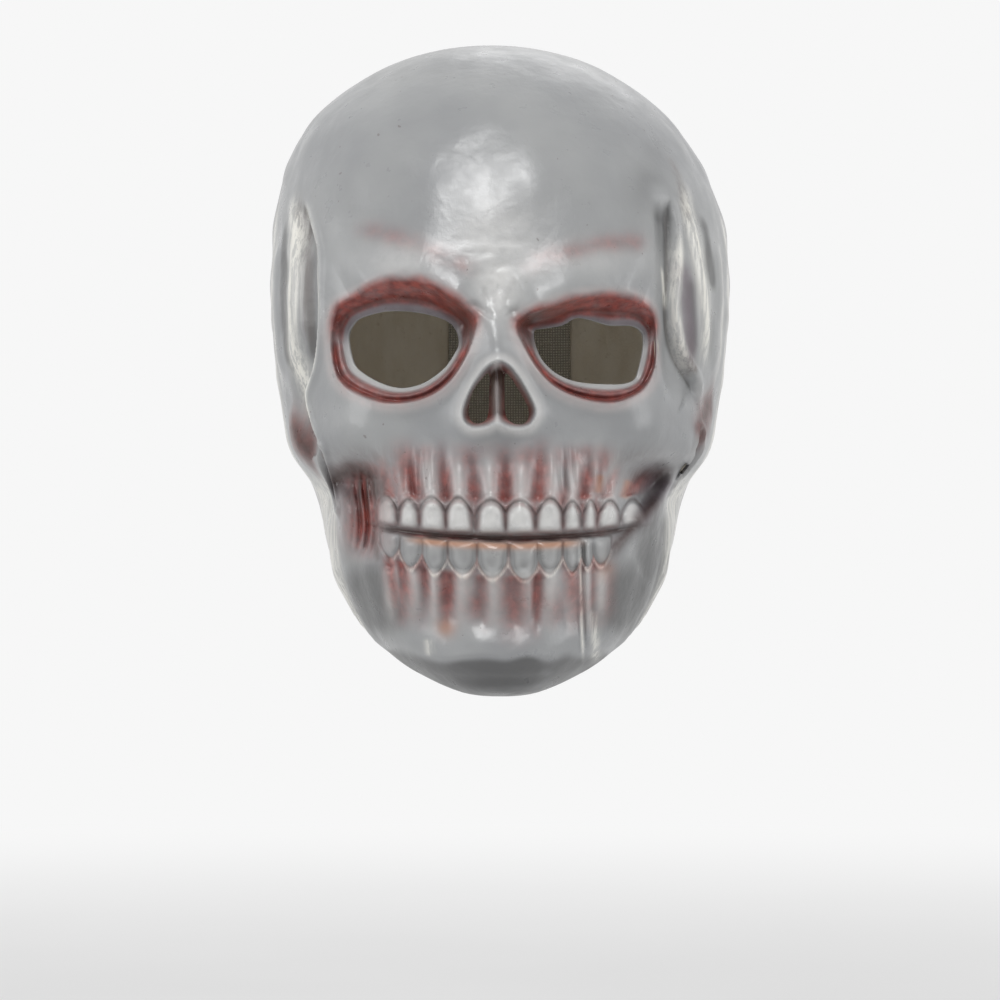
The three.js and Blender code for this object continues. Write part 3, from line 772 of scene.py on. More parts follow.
def unit(vectors):
    return vectors / np.maximum(np.linalg.norm(vectors, axis=1), 1e-9)[:, None]


def rolled_edge(sheet, thickness):
    """Rows of points that turn each open edge inwards by the latex's thickness, and over the lining's edge.
    Returns points, faces, and the sheet's point that each new one comes from."""
    points, faces, sources = [], [], []
    count = len(sheet.points)
    for loop in loops_of(open_edges(sheet.faces())):
        edge = sheet.points[loop]
        normal = unit(evened(sheet.normals[loop], EDGE_EVENING))
        even = evened(edge, EDGE_EVENING)
        out = unit(np.cross(np.roll(even, -1, 0) - np.roll(even, 1, 0), normal))
        upper = list(loop)
        for down, beyond in ROLL:
            lower = list(range(count, count + len(loop)))
            count += len(loop)
            points.append(edge - normal * thickness * down + out * thickness * beyond)
            sources += loop
            for k, a in enumerate(upper):
                b = (k + 1) % len(loop)
                faces.append([upper[b], a, lower[k], lower[b]])
            upper = lower
    return np.vstack(points), faces, np.array(sources)


def make_object(name, points, faces, material, attributes=None):
    mesh = bpy.data.meshes.new(name)
    mesh.from_pydata((points * MM).tolist(), [], faces)
    mesh.update()
    mesh.shade_smooth()
    for key, values in (attributes or {}).items():
        layer = mesh.attributes.new(key, "FLOAT_COLOR", "POINT")
        layer.data.foreach_set("color", values.astype(np.float32).ravel())
    mesh.materials.append(material)
    made = bpy.data.objects.new(name, mesh)
    bpy.context.scene.collection.objects.link(made)
    return made


# ---------------------------------------------------------------- paint
def neighbours_mean(values, edges, count, rounds):
    """Values averaged with their neighbours', a number of times over."""
    a, b = edges.T
    degree = np.bincount(a, minlength=count) + np.bincount(b, minlength=count)
    for _ in range(rounds):
        sums = [np.bincount(a, v[b], count) + np.bincount(b, v[a], count) for v in values.T]
        values = (np.column_stack(sums) + values) / (degree + 1)[:, None]
    return values


def cavity(sheet, rounds):
    """How far each point lies below the surface round it, in millimetres."""
    even = neighbours_mean(sheet.points, sheet.edges(), len(sheet.points), rounds)
    return np.einsum("ij,ij->i", even - sheet.points, sheet.normals)


def stroke(points, x, z, width, soft=0.0):
    """A brushed or airbrushed stroke along a line, fading out at both ends."""
    d, _, along = to_line(open_curve(points), x, z, width * 3)
    return bell(d, width) * smooth(-0.02, 0.2 + soft, along) * smooth(1.02, 0.8 - soft, along)


def side_strokes(x, u, z, strokes):
    """The strongest of the strokes on each point's side: (sign of x, strength, width, points)."""
    total = np.zeros(u.shape)
    for sign, strength, width, points in strokes:
        here = (x * sign > 0) & (u > 50) & (u < 200)
        total[here] = np.maximum(total[here], strength * stroke(points, u[here], z[here], width))
    return total


def red_paint(x, z, orbits):
    """The red-brown airbrushing in the sockets, on the brows, in the nose and between the roots."""
    patchy = ripple(x, z, 31, wave=13)
    red = np.zeros(x.shape)
    for o in orbits:
        ring = smooth(0.16, 0.4, o.share) * smooth(1.6, -1.4, o.rim)
        ring = ring * (0.7 + 0.25 * bell(o.share - 0.72, 0.2))
        start = 0.12 - 0.1 * (x > 0) * smooth(50, 30, np.abs(x))
        band = smooth(start, start + 0.22, o.share) * smooth(3.6, -1.4, o.rim + 0.35 * patchy) * 0.97
        halo = 0.2 * smooth(5, 0, o.rim) * smooth(0.5, 1, o.share)
        red = np.maximum.reduce([red, ring * (1 - o.upper), band * o.upper, halo])
    for points, strength in BROW_SMUDGES:
        red = np.maximum(red, strength * stroke(points, x, z, 3.4) * (0.85 + 0.2 * patchy))
    d = outside(nose_rim, x, z)
    septum = bell(x + 1.2 + 0.02 * (z + 15), 1.9)
    red = np.maximum(red, 0.85 * smooth(0, -2.4, d) * (1 - 0.8 * septum))
    _, upper = trough_masks(UPPER_TROUGHS, x, z, -57.5 + 0.0012 * x * x)
    _, lower = trough_masks(LOWER_TROUGHS, x, z, -83 + 0.004 * x * x)
    wash = 0.55 * smooth(46, 36, np.abs(x)) * smooth(-33, -42, z) * smooth(-107, -92, z)
    wash = wash * (0.8 + 0.35 * patchy) * (1 - 0.7 * root_ridges(x, z))
    sinew = 0.95 * bell(x + 50.5, 7.5) * smooth(-40, -46, z) * smooth(-82, -66, z)
    inset, _ = tooth_inset(x, z)
    off_teeth = smooth(0.2, -0.8, inset)
    stain = 0.3 * smooth(2.2, 0.3, inset) * (inset > 0) * smooth(50, 40, np.abs(x))
    red = np.maximum(red, stain * (z > bite_line(x)))
    mouth = np.maximum.reduce([upper, lower, wash]) * off_teeth
    return np.clip(np.maximum.reduce([red, mouth, sinew]), 0, 1)


def dark_paint(x, z, orbits):
    """Dark brown paint and painted shade: the lines round the teeth and along the bite, partly paint and
    partly painted shade; painted shade under the upper lids, in the sockets' lower grooves, deep in the nose,
    among the sinews and in the hollows under the cheekbones, and in the trough beside the jaw's oblique
    ridge.
    """
    inset, _ = tooth_inset(x, z)
    from_bite = z - bite_line(x)
    mouth = smooth(56, 50, np.abs(x - 3))
    uneven = 1 + 0.25 * ripple(x, z, 34, wave=11)
    # Dark lines at the gums, between the teeth and along the bite: partly dark paint, partly painted shade in
    # the creases.
    gum = 0.62 * bell(inset + 0.5, 0.8) * np.where(from_bite > 0, smooth(5, 8, from_bite), 0.35) * uneven
    between = 0.5 * bell(inset + 0.1, 0.55) * smooth(10, 5, np.abs(from_bite)) * uneven
    bite = 0.97 * bell(from_bite + 0.12 * ripple(x, z, 33, wave=9), 1.05) * smooth(50, 42, np.abs(x - 1))
    # Painted shadow on the upper teeth just above the bite.
    shade = 0.5 * smooth(4.4, 0.5, from_bite) * (from_bite > 0)
    dark = np.maximum.reduce([gum * mouth, between * mouth, bite, shade * mouth])
    # Painted shade under the upper lids, in the lower grooves and in the inner upper corners.
    for o in orbits:
        crease = 0.5 * bell(o.share - 0.4, 0.12) * o.upper
        groove = 0.28 * bell(o.share - 0.8, 0.12) * (1 - o.upper)
        corner = 0.75 * bell(o.hole - 3, 3.4) * o.upper * smooth(30, 12, np.abs(x))
        dark = np.maximum(dark, np.maximum.reduce([crease, groove, corner]) * (o.rim < 0))
    # Painted shade deep in the nose and under its top.
    d = outside(nose_rim, x, z)
    nose_top = 0.6 * bell(z + 9.5, 3.5) * bell(x + 1, 3.4) * (d < -0.5)
    dark = np.maximum(dark, 0.6 * smooth(-1.5, -4, d) + nose_top)
    # Painted shade among the sinews, in the hollows under the cheekbones and in the trough beside the oblique
    # ridge.
    sinews = bell(x + 51, 7) * smooth(-42, -48, z) * smooth(-74, -52, z)
    sinews = sinews * (0.62 + 0.35 * np.sin((x + 50) * 2 * math.pi / 3.1 + 0.9 * np.sin(z * 0.21)))
    corners = stroke([(-46.5, -62), (-46.8, -70), (-45, -80)], x, z, 1.4)
    trough = 0.85 * stroke([(62, -53), (53.5, -62), (45, -71), (40, -78)], x, z, 2.6)
    right_hollow = 0.8 * stroke([(-67, -43), (-60, -46.5), (-51, -46), (-45, -50), (-43.5, -60)], x, z, 3.2)
    left_hollow = 0.45 * stroke([(47, -48), (54, -46.5), (61, -46.5), (67, -44)], x, z, 2.8)
    arch = 0.95 * stroke([(-63, -55), (-61, -47), (-54, -44.5), (-47.5, -48), (-45.5, -60)], x, z, 3.6)
    parts = [dark, sinews, 0.6 * corners, trough, right_hollow, left_hollow, arch]
    return np.clip(np.maximum.reduce(parts), 0, 1)


def ivory_paint(x, z, u):
    """The dry-brushed ivory on the sides, the jaw's edge and the lower gums, with the band along each side's
    outline partly ivory and partly a painted reflection of the bright room, and painted highlights on the
    crease's edges.
    """
    inset, _ = tooth_inset(x, z)
    gums = 0.75 * bell(inset + 1.5, 0.9) * (z < bite_line(x) - 7) * smooth(44, 36, np.abs(x))
    # Band along the side's outline: partly ivory, partly a painted reflection of the bright room.
    edge = 0.75 * smooth(118, 134, u) * smooth(150, 138, u) * smooth(70, 45, z)
    near = np.where(x > 0, 88, 82)
    jaw = 0.7 * smooth(near, near + 14, u) * smooth(-42, -54, z) * smooth(160, 120, u)
    # Bright lines on the crease's edges: painted highlights.
    creased = 0.85 * stroke([(29.4, -73), (30, -95), (31, -117)], x, z, 0.5)
    folds = np.maximum(creased, 0.6 * stroke([(34, -96), (35.5, -108), (36, -118)], x, z, 1.6))
    chin = 0.5 * stroke([(-26.5, -107), (-26, -114)], x, z, 1.6)
    sides = side_strokes(x, u, z, IVORY_STROKES)
    return np.clip(np.maximum.reduce([gums, edge, jaw, folds, chin, sides]), 0, 1)


def grime_and_shade_paint(x, z, u, hollow):
    """Brownish-grey strokes on the temples, and brownish-grey painted shade in the hollows under the
    cheekbones, along the side slits and in every recess.
    """
    side = np.abs(x)
    # cheeks and under: painted shade in the hollows under the cheekbones.
    cheeks = 0.95 * bell(side - 56, 8) * bell(z - cheek_edge(side) + 4.5, 4.5)
    # Painted shade along each side slit's fold.
    slit = side_lines(x, u, z, slits, 12)[0]
    slit = bell(slit, 1.5)
    under = 0.35 * bell(side - 50, 16) * bell(z + 40, 4)
    ahead = smooth(110, 95, u)
    parts = [side_strokes(x, u, z, GRIME_STROKES), cheeks * ahead, slit, under * ahead]
    # The last layer is painted shade in every recess, from the cavity depth.
    return np.clip(np.maximum.reduce([*parts, 0.45 * smooth(0.5, 1.5, hollow)]), 0, 1)


def purple_paint(x, z, orbits):
    """The mauve of the lids' undersides and of the right temple's oval, and mauve painted shade in the
    cheeks' hollows and along the jaw's oblique ridge.
    """
    lids = 0
    for o in orbits:
        lids = np.maximum(lids, 0.9 * smooth(0.5, 0.25, o.share) * o.upper * (o.rim < 0))
    # Mauve painted shade in the hollows under the cheekbones and along the oblique ridge.
    hollows = 0.8 * bell(np.abs(x) - 57, 7) * bell(z + 49, 6)
    oblique = 0.9 * stroke([(67, -47), (61, -53), (50, -66)], x, z, 3.6)
    return np.clip(np.maximum.reduce([lids, hollows, oblique]), 0, 1)


def pale_paint(x, z, orbits):
    """The paler lips of the eyes, the teeth, the roots' ridges and the nose's rim, with painted highlights on
    the eye rims' crests, the forehead, between the brows and on the brows, and partly on the upper teeth.
    """
    inset, across = tooth_inset(x, z)
    # Upper teeth paler, most in the middle of each: partly paint, partly painted highlight.
    upper = smooth(0.4, 1.8, inset) * (1 - 0.5 * across**2) * np.where(z > bite_line(x), 1, 0.2)
    lips = 0
    for o in orbits:
        lip = 0.4 * smooth(0.34, 0.18, o.share) * (1 - o.upper) * (o.rim < 0)
        # Painted highlight on the crest just outside each rim.
        lips = np.maximum(lips, np.maximum(lip, 0.35 * bell(o.rim - 1.5, 1.8) * (o.rim > 0)))
    nose = outside(nose_rim, x, z)
    rim = 0.6 * bell(nose - 1.2, 1.8) * (nose > 0)
    # Painted highlights on the forehead, between the brows and on the brows.
    forehead = np.maximum(0.75 * bell(x + 2, 15) * bell(z - 38, 17), bell(x + 1, 9) * bell(z - 24, 14))
    brow = 0.55 * bell(x + 36, 16) * bell(z - 32, 8) + 0.3 * bell(x - 36, 16) * bell(z - 32, 7)
    septum = 0.7 * bell(x + 1.2 + 0.02 * (z + 15), 1.2) * (nose < 0)
    roots = 0.75 * root_ridges(x, z) * smooth(48, 40, np.abs(x))
    return np.clip(np.maximum.reduce([upper, lips, rim, septum, roots, forehead, brow]), 0, 1)


def shade_paint(x, z, u):
    """Painted shade: greyer and darker under the chin, on the sides of the jaw, on the lower teeth, the
    cheeks and the crown, and towards the temples.
    """
    side = np.abs(x)
    jaw = 1.1 * bell(side - 48, 13) * bell(z + 94, 15)
    chin = np.minimum(1, 1.05 * smooth(-110, -118, z) + 0.25 * ripple(x, z, 35, wave=21) * (z < -108))
    chin = np.maximum(chin, 0) * smooth(-106, -114, z) * smooth(64, 46, side)
    ramus = np.where(x > 0, 1.15, 0.3) * bell(side - 59, 8) * bell(z + 76, 18)
    temple = np.where(x > 0, 0.4, 0.12) * bell(side - 58, 14) * bell(z - 58, 24)
    crown = 0.25 * smooth(84, 108, z)
    cheek = np.where(x > 0, 0.25, 0.1) * bell(side - 55, 14) * bell(z + 28, 12)
    lower_teeth = 0.42 * smooth(0.4, 1.4, tooth_inset(x, z)[0]) * (z < bite_line(x))
    sides = side_strokes(x, u, z, SHADE_STROKES)
    total = np.maximum.reduce([jaw, chin, ramus, temple, cheek, lower_teeth, sides])
    return np.maximum(total * smooth(150, 130, u), crown)


def orange_paint(x, z):
    below = bell(z - (bite_line(x) - 2.7), 1.5) * smooth(36, 24, np.abs(x + 2))
    spots = np.maximum(bell(np.hypot(x + 20, z + 103), 3.4), 0.6 * bell(np.hypot(x - 39, z + 82), 3.4))
    molars = [stroke([(37, -46), (36, -54)], x, z, 1.6), stroke([(48, -48), (46, -56)], x, z, 1.8)]
    return np.clip(np.maximum.reduce([0.75 * below, 0.5 * spots, 0.6 * np.maximum(*molars)]), 0, 1)


def face_paint(sheet):
    """Two colour layers: paint is red, dark (paint lines and painted shade), ivory and orange; wash is
    brownish-grey strokes with painted shade, a layer of painted shade and painted highlight (0.5 untouched,
    lower darker, higher paler), purple and pale.
    """
    x, y, z = sheet.base.T
    u = turned(sheet.turn)
    front = (np.cos(sheet.turn) > 0.1) & (y < 0)
    fx, fz = x[front], z[front]
    orbits = [Orbit(index, fx, fz) for index in (0, 1)]
    paint, wash = np.zeros((len(x), 4)), np.zeros((len(x), 4))
    paint[front, 0] = red_paint(fx, fz, orbits)
    ears = side_strokes(x, u, z, EAR_STROKES)
    paint[:, 0] = np.maximum(paint[:, 0], 0.85 * ears)
    paint[:, 1] = 0.8 * ears
    paint[front, 1] = np.maximum(paint[front, 1], dark_paint(fx, fz, orbits))
    paint[front, 3] = orange_paint(fx, fz)
    paint[:, 2] = ivory_paint(x, z, u)
    # The cavity depth sets painted shade in recesses and a painted highlight on raised points.
    hollow = cavity(sheet, 14)
    wash[:, 0] = grime_and_shade_paint(x, z, u, hollow)
    # Second wash layer: 0.5 untouched, lower is painted shade, higher is painted highlight.
    wash[:, 1] = np.clip(0.5 - 0.5 * hollow - 0.62 * shade_paint(x, z, u), 0, 1)
    wash[front, 2] = purple_paint(fx, fz, orbits)
    wash[:, 2] = np.maximum(wash[:, 2], side_strokes(x, u, z, MAUVE_STROKES))
    wash[front, 3] = pale_paint(fx, fz, orbits)
    paint[~front, 2] *= smooth(0.1, 0.5, np.abs(np.sin(sheet.turn[~front])))
    return {"paint": paint, "wash": wash}


# ---------------------------------------------------------------- materials
class Shader:
    """A principled material being put together, with short names for the nodes that these need."""

    def __init__(self, name, **values):
        self.material = bpy.data.materials.new(name)
        self.material.use_nodes = True
        self.tree = self.material.node_tree
        self.bsdf = self.tree.nodes["Principled BSDF"]
        self.object = self.tree.nodes.new("ShaderNodeTexCoord").outputs["Object"]
        for key, value in values.items():
            self.bsdf.inputs[key.replace("_", " ")].default_value = value

    def link(self, source, target):
        self.tree.links.new(source, target)
        return self

    def attribute(self, name):
        node = self.tree.nodes.new("ShaderNodeAttribute")
        node.attribute_name = name
        parts = self.tree.nodes.new("ShaderNodeSeparateColor")
        self.link(node.outputs["Color"], parts.inputs[0])
        return [*parts.outputs, node.outputs["Alpha"]]

    def noise(self, size, detail=3, stretch=(1, 1, 1), roughness=0.55):
        """Noise with features about size millimetres across."""
        mapping = self.tree.nodes.new("ShaderNodeMapping")
        mapping.inputs["Scale"].default_value = [s / (size * MM) for s in stretch]
        self.link(self.object, mapping.inputs["Vector"])
        node = self.tree.nodes.new("ShaderNodeTexNoise")
        node.inputs["Scale"].default_value = 1
        node.inputs["Detail"].default_value = detail
        node.inputs["Roughness"].default_value = roughness
        self.link(mapping.outputs[0], node.inputs["Vector"])
        return node.outputs["Fac"]

    def wave(self, size, direction="X", distortion=0.0):
        node = self.tree.nodes.new("ShaderNodeTexWave")
        node.bands_direction = direction
        node.inputs["Scale"].default_value = 0.314 / (size * MM)
        node.inputs["Distortion"].default_value = distortion
        self.link(self.object, node.inputs["Vector"])
        return node.outputs["Fac"]

    def remap(self, source, low, high, out_low=0.0, out_high=1.0):
        node = self.tree.nodes.new("ShaderNodeMapRange")
        node.interpolation_type = "SMOOTHSTEP"
        for key, value in zip(("From Min", "From Max", "To Min", "To Max"), (low, high, out_low, out_high)):
            node.inputs[key].default_value = value
        self.link(source, node.inputs["Value"])
        return node.outputs[0]

    def math(self, operation, a, b):
        node = self.tree.nodes.new("ShaderNodeMath")
        node.operation = operation
        node.use_clamp = operation != "ADD"
        for value, socket in ((a, node.inputs[0]), (b, node.inputs[1])):
            if isinstance(value, (int, float)):
                socket.default_value = value
            else:
                self.link(value, socket)
        return node.outputs[0]

    def mix(self, factor, a, b, blend="MIX"):
        node = self.tree.nodes.new("ShaderNodeMix")
        node.data_type = "RGBA"
        node.blend_type = blend
        for value, socket in ((factor, node.inputs[0]), (a, node.inputs[6]), (b, node.inputs[7])):
            if isinstance(value, tuple):
                socket.default_value = (*value, 1)
            elif isinstance(value, (int, float)):
                socket.default_value = value
            else:
                self.link(value, socket)
        return node.outputs[2]

    def colour(self, socket):
        return self.link(socket, self.bsdf.inputs["Base Color"])

    def roughness(self, socket):
        return self.link(socket, self.bsdf.inputs["Roughness"])

    def bump(self, *layers):
        """Each layer is (height, depth in millimetres)."""
        last = None
        for height, depth in layers:
            node = self.tree.nodes.new("ShaderNodeBump")
            node.inputs["Distance"].default_value = depth * MM
            self.link(height, node.inputs["Height"])
            if last:
                self.link(last, node.inputs["Normal"])
            last = node.outputs[0]
        return self.link(last, self.bsdf.inputs["Normal"])


GREY = (0.3, 0.306, 0.314)
COOL = (0.36, 0.366, 0.368)
# PALE is the paler paint and the colour of the painted highlights.
PALE = (0.7, 0.695, 0.68)
RED = (0.35, 0.072, 0.055)
DEEP_RED = (0.18, 0.034, 0.028)
# SHADE is the colour of the painted shade.
SHADE = (0.085, 0.085, 0.085)
# DARK is the dark brown paint and the colour of the painted shade in deep recesses.
DARK = (0.045, 0.02, 0.016)
# IVORY is the dry-brush, and also the painted highlights and reflection on edges.
IVORY = (0.86, 0.845, 0.78)
ORANGE = (0.5, 0.23, 0.12)
# Brownish grey of the side strokes, the specks and the painted shade in hollows.
GRIME_AND_SHADE = (0.15, 0.122, 0.112)
# PURPLE is the mauve paint and the mauve painted shade.
PURPLE = (0.165, 0.135, 0.155)


def painted_latex(name):
    """Grey latex, airbrushed and dry-brushed by the layers that face_paint makes, which also carry painted
    shade in the recesses and painted highlights on raised points.
    """
    s = Shader(name, Roughness=0.34)
    red, dark, ivory, orange = s.attribute("paint")
    grime_and_shade, hollow, purple, pale = s.attribute("wash")
    cloudy = s.noise(60, 3)
    grain = s.noise(1.6, 4)
    streaks = s.noise(2.4, 5, stretch=(1, 1, 0.07), roughness=0.75)
    blotch = s.noise(6, 5, roughness=0.6)
    base = s.mix(s.remap(cloudy, 0.35, 0.68), GREY, COOL)
    # Painted highlight on raised points, then painted shade in recesses and where shade_paint darkens.
    base = s.mix(s.remap(hollow, 0.55, 1, 0, 0.22), base, PALE)
    base = s.mix(s.remap(hollow, 0.5, 0, 0, 0.85), base, SHADE)
    # Pale paint, with painted highlights on the forehead, brows, rims and upper teeth.
    base = s.mix(s.math("MULTIPLY", pale, s.remap(blotch, 0.3, 0.6, 0.65, 0.9)), base, PALE)
    # Ivory dry-brush, with the painted highlights on the crease and the painted reflection along the outline.
    dry = s.math("MULTIPLY", ivory, s.remap(streaks, 0.4, 0.56, 0.3, 1))
    base = s.mix(dry, base, IVORY)
    # Brownish-grey strokes, and painted shade in hollows, slits and recesses.
    grime_and_shade_smear = s.math("MULTIPLY", grime_and_shade, s.remap(streaks, 0.62, 0.42, 0.45, 1))
    base = s.mix(grime_and_shade_smear, base, GRIME_AND_SHADE)
    # Mauve paint, and mauve painted shade in the cheeks' hollows.
    base = s.mix(s.math("MULTIPLY", purple, s.remap(blotch, 0.3, 0.7, 0.7, 0.95)), base, PURPLE)
    base = s.mix(orange, base, ORANGE)
    worn = s.math("MULTIPLY", red, s.remap(blotch, 0.3, 0.6, 0.8, 1))
    base = s.mix(worn, base, s.mix(s.remap(s.noise(3.5, 4), 0.35, 0.7), DEEP_RED, RED))
    # Dark paint lines, and painted shade deep in recesses.
    base = s.mix(s.math("MULTIPLY", dark, s.remap(grain, 0.2, 0.6, 0.88, 1)), base, DARK)
    speck = s.remap(s.noise(2.6, 1), 0.775, 0.8)
    base = s.mix(s.math("MULTIPLY", speck, 0.5), base, GRIME_AND_SHADE)
    s.colour(base)
    s.roughness(s.remap(s.noise(9, 4), 0.3, 0.75, 0.27, 0.4))
    s.bump((s.noise(11, 2), 0.45), (grain, 0.07), (streaks, 0.05))
    return s.material


def raw_latex(name):
    """The unpainted inside, as it came out of the mould."""
    s = Shader(name, Roughness=0.55)
    drips = s.noise(14, 4, stretch=(1, 1, 0.4))
    base = s.mix(s.remap(drips, 0.35, 0.7), (0.62, 0.56, 0.46), (0.72, 0.67, 0.58))
    s.colour(s.mix(s.remap(s.noise(3, 3), 0.62, 0.74, 0, 0.35), base, (0.42, 0.36, 0.28)))
    s.bump((drips, 1.2), (s.noise(1.2, 3), 0.15))
    return s.material


def foam(name):
    s = Shader(name, Roughness=0.95)
    cells = s.tree.nodes.new("ShaderNodeTexVoronoi")
    cells.inputs["Scale"].default_value = 900
    s.link(s.object, cells.inputs["Vector"])
    cell = cells.outputs["Distance"]
    s.colour(s.mix(s.remap(cell, 0.1, 0.6), (0.02, 0.02, 0.022), (0.085, 0.085, 0.09)))
    s.bump((cell, 0.5), (s.noise(7, 3), 0.8))
    return s.material


def woven(name, thread, gap, pitch, directions=("X", "Z"), rough=0.85):
    """Cloth whose threads cross at the given pitch, in millimetres."""
    s = Shader(name, Roughness=rough)
    s.bsdf.inputs["Sheen Weight"].default_value = 0.3
    across, along = (s.wave(pitch, direction) for direction in directions)
    threads = s.math("MULTIPLY", across, along)
    fuzz = s.noise(0.8, 3)
    s.colour(s.mix(s.remap(s.math("MULTIPLY", threads, fuzz), 0.02, 0.4), gap, thread))
    s.bump((threads, 0.25), (fuzz, 0.1))
    return s.material


def pile(name, tone):
    s = Shader(name, Roughness=0.95)
    s.bsdf.inputs["Sheen Weight"].default_value = 0.4
    tuft = s.noise(0.9, 4, roughness=0.75)
    s.colour(s.mix(s.remap(tuft, 0.35, 0.65), tuple(0.4 * c for c in tone), tone))
    s.bump((tuft, 0.6))
    return s.material


def plated_steel(name):
    s = Shader(name, Roughness=0.28, Metallic=1.0)
    s.colour(s.mix(s.remap(s.noise(1.5, 4), 0.4, 0.7), (0.62, 0.61, 0.6), (0.45, 0.44, 0.43)))
    s.roughness(s.remap(s.noise(1, 4), 0.3, 0.7, 0.2, 0.4))
    s.bump((s.noise(0.6, 3), 0.03))
    return s.material


# ---------------------------------------------------------------- the skins
def skin_piece(name, outer, inner, material, lining):
    """An outer skin with rolled edges, and its inner face, as one object of two materials."""
    rolled, roll_faces, sources = rolled_edge(outer, SKIN)
    layers = face_paint(outer)
    count = len(outer.points) + len(rolled)
    points = np.vstack([outer.points, rolled, inner.points])
    faces = outer.faces() + roll_faces
    inside = [[i + count for i in reversed(face)] for face in inner.faces()]
    for key, values in layers.items():
        blank = np.zeros((len(inner.points), 4))
        layers[key] = np.vstack([values, values[sources] * [0.7, 1, 0.3, 1], blank])
    made = make_object(name, points, faces + inside, material, layers)
    made.data.materials.append(lining)
    made.data.polygons.foreach_set("material_index", [0] * len(faces) + [1] * len(inside))
    return made


LATEX = painted_latex("painted_latex")
LINING = raw_latex("raw_latex")
# The outer face's steps, in millimetres: finest over the mouth and the eyes.
FINE = [
    (-131.5, 1.0), (-106, 0.8), (-98, 0.55), (-89, 0.46), (-53, 0.45), (-48, 0.6), (-38, 0.6), (-32, 0.8),
    (-24, 0.6), (-20, 0.5), (26, 0.52), (30, 0.8), (44, 1.4), (122.5, 2.2),
]
COARSE = [(z, 1.9) for z, _ in FINE]


def face_sheet(steps, front_step, side_step, back_step, depth, detail, back):
    turns = columns(-math.pi, math.pi, front_step, side_step, back_step)[:-1]
    return open_face(Sheet(turns, rows(-131.5, 122.6, steps), depth, detail), back)


def face_skin():
    outer = face_sheet(FINE, 0.52, 0.8, 2.2, 0, True, 0)
    inner = face_sheet(COARSE, 1.6, 2.2, 3.0, LINING_DEPTH, False, LINING_BACK)
    made = skin_piece("face_skin", outer, inner, LATEX, LINING)
    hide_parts("face_casting")
    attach(made, "mask_shell")
    return made


def rear_sheet(keeps, depth, step, back):
    turns = columns(1.2, 2 * math.pi - 1.2, step, step, step)
    sheet = Sheet(turns, rows(-110, 122.6, [(z, step) for z, _ in FINE]), depth, True)
    for field in (lambda p: p[:, 1] - SEAM_Y - 2 * SEAM_HALF, neck_field, *keeps):
        sheet.cut(lambda p: field(p) - back)
    return sheet.settle()


def rear_skin(name, keeps):
    outer = rear_sheet(keeps, 0, 1.7, 0)
    inner = rear_sheet(keeps, LINING_DEPTH, 3, LINING_BACK)
    return skin_piece(name, outer, inner, LATEX, LINING)


def crown_skin():
    made = rear_skin("crown_skin", [lambda p: p[:, 2] - SLIT_TOP - SEAM_HALF])
    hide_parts("crown_casting")
    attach(made, "mask_shell")


def bend(piece, side):
    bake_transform(piece)


def flap_skin(side):
    word = "left" if side > 0 else "right"
    keeps = [lambda p: SLIT_TOP - SEAM_HALF - p[:, 2], lambda p: side * p[:, 0] - SLIT / 2]
    made = rear_skin(f"{word}_flap_skin", keeps)
    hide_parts(f"{word}_flap_casting")
    bend(made, side)


face_skin()
crown_skin()
for side in (1, -1):
    flap_skin(side)


# ---------------------------------------------------------------- pads, tapes and webbing
# Depths are below the outer skin, and negative outside it.
AGAINST_LINING = 1.9
TAPE, FOAM, WEBBING, PILE, LABEL = 0.7, 6.9, 1.6, 1.0, 0.35
TAPE_REACH = 9.0  # the seam tape reaches this far to each side of the seam
STRAP_Z, STRAP_HALF = -72.0, 13.0
# How high the webbing's near face lies on the skin, and over the closed pile.
ON_SKIN, OVER_PILE = -0.25, -4.3
FOLD_X = 14.0
RIVET_X, RIVET_HEIGHTS = 23.0, (-65.0, -79.0)
# Half sections of a rivet's cap and of its clenched ring: distance from its axis, and height.
RIVET_CAP = [
    (0.25, 1.55), (1.1, 1.45), (2.1, 1.15), (2.9, 0.72), (3.4, 0.3), (3.55, 0.1), (3.4, 0), (1.5, 0),
]
RIVET_RING = [
    (1.5, 0), (2.6, 0), (3.0, -0.25), (2.7, -0.62), (2.0, -0.75), (1.3, -0.45), (0.9, -0.2), (0.3, -0.15),
]
CROWN_PAD, CROWN_PAD_Z = 34.0, 111.0

COTTON = woven("cotton_tape", (0.6, 0.58, 0.52), (0.3, 0.28, 0.24), 1.1)
BIAS = woven("bias_tape", (0.6, 0.58, 0.52), (0.3, 0.28, 0.24), 1.1, ("Y", "DIAGONAL"))
BLACK_WEB = woven("black_webbing", (0.05, 0.05, 0.054), (0.012, 0.012, 0.013), 1.6)
SATIN = woven("label_satin", (0.74, 0.72, 0.68), (0.6, 0.58, 0.54), 0.5, rough=0.42)
THREAD = woven("black_thread", (0.075, 0.075, 0.08), (0.03, 0.03, 0.03), 0.3)
LOOPS = pile("loop_pile", (0.028, 0.028, 0.031))
HOOKS = pile("hook_pile", (0.02, 0.02, 0.022))
FOAM_PADDING = foam("foam_padding")
STEEL = plated_steel("rivet_steel")


def rounded(a, b, across, along, radius):
    """Distance inside a rectangle with rounded corners."""
    qa = np.abs(a - sum(across) / 2) - (across[1] - across[0]) / 2 + radius
    qb = np.abs(b - sum(along) / 2) - (along[1] - along[0]) / 2 + radius
    return radius - np.hypot(np.maximum(qa, 0), np.maximum(qb, 0)) - np.minimum(np.maximum(qa, qb), 0)


def front_place(x, z, radius=6):
    return lambda p: np.where(p[:, 1] < 0, rounded(p[:, 0], p[:, 2], x, z, radius), -5)


def back_place(x, z, radius=1.5):
    return lambda p: np.where(p[:, 1] > 0, rounded(p[:, 0], p[:, 2], x, z, radius), -5)


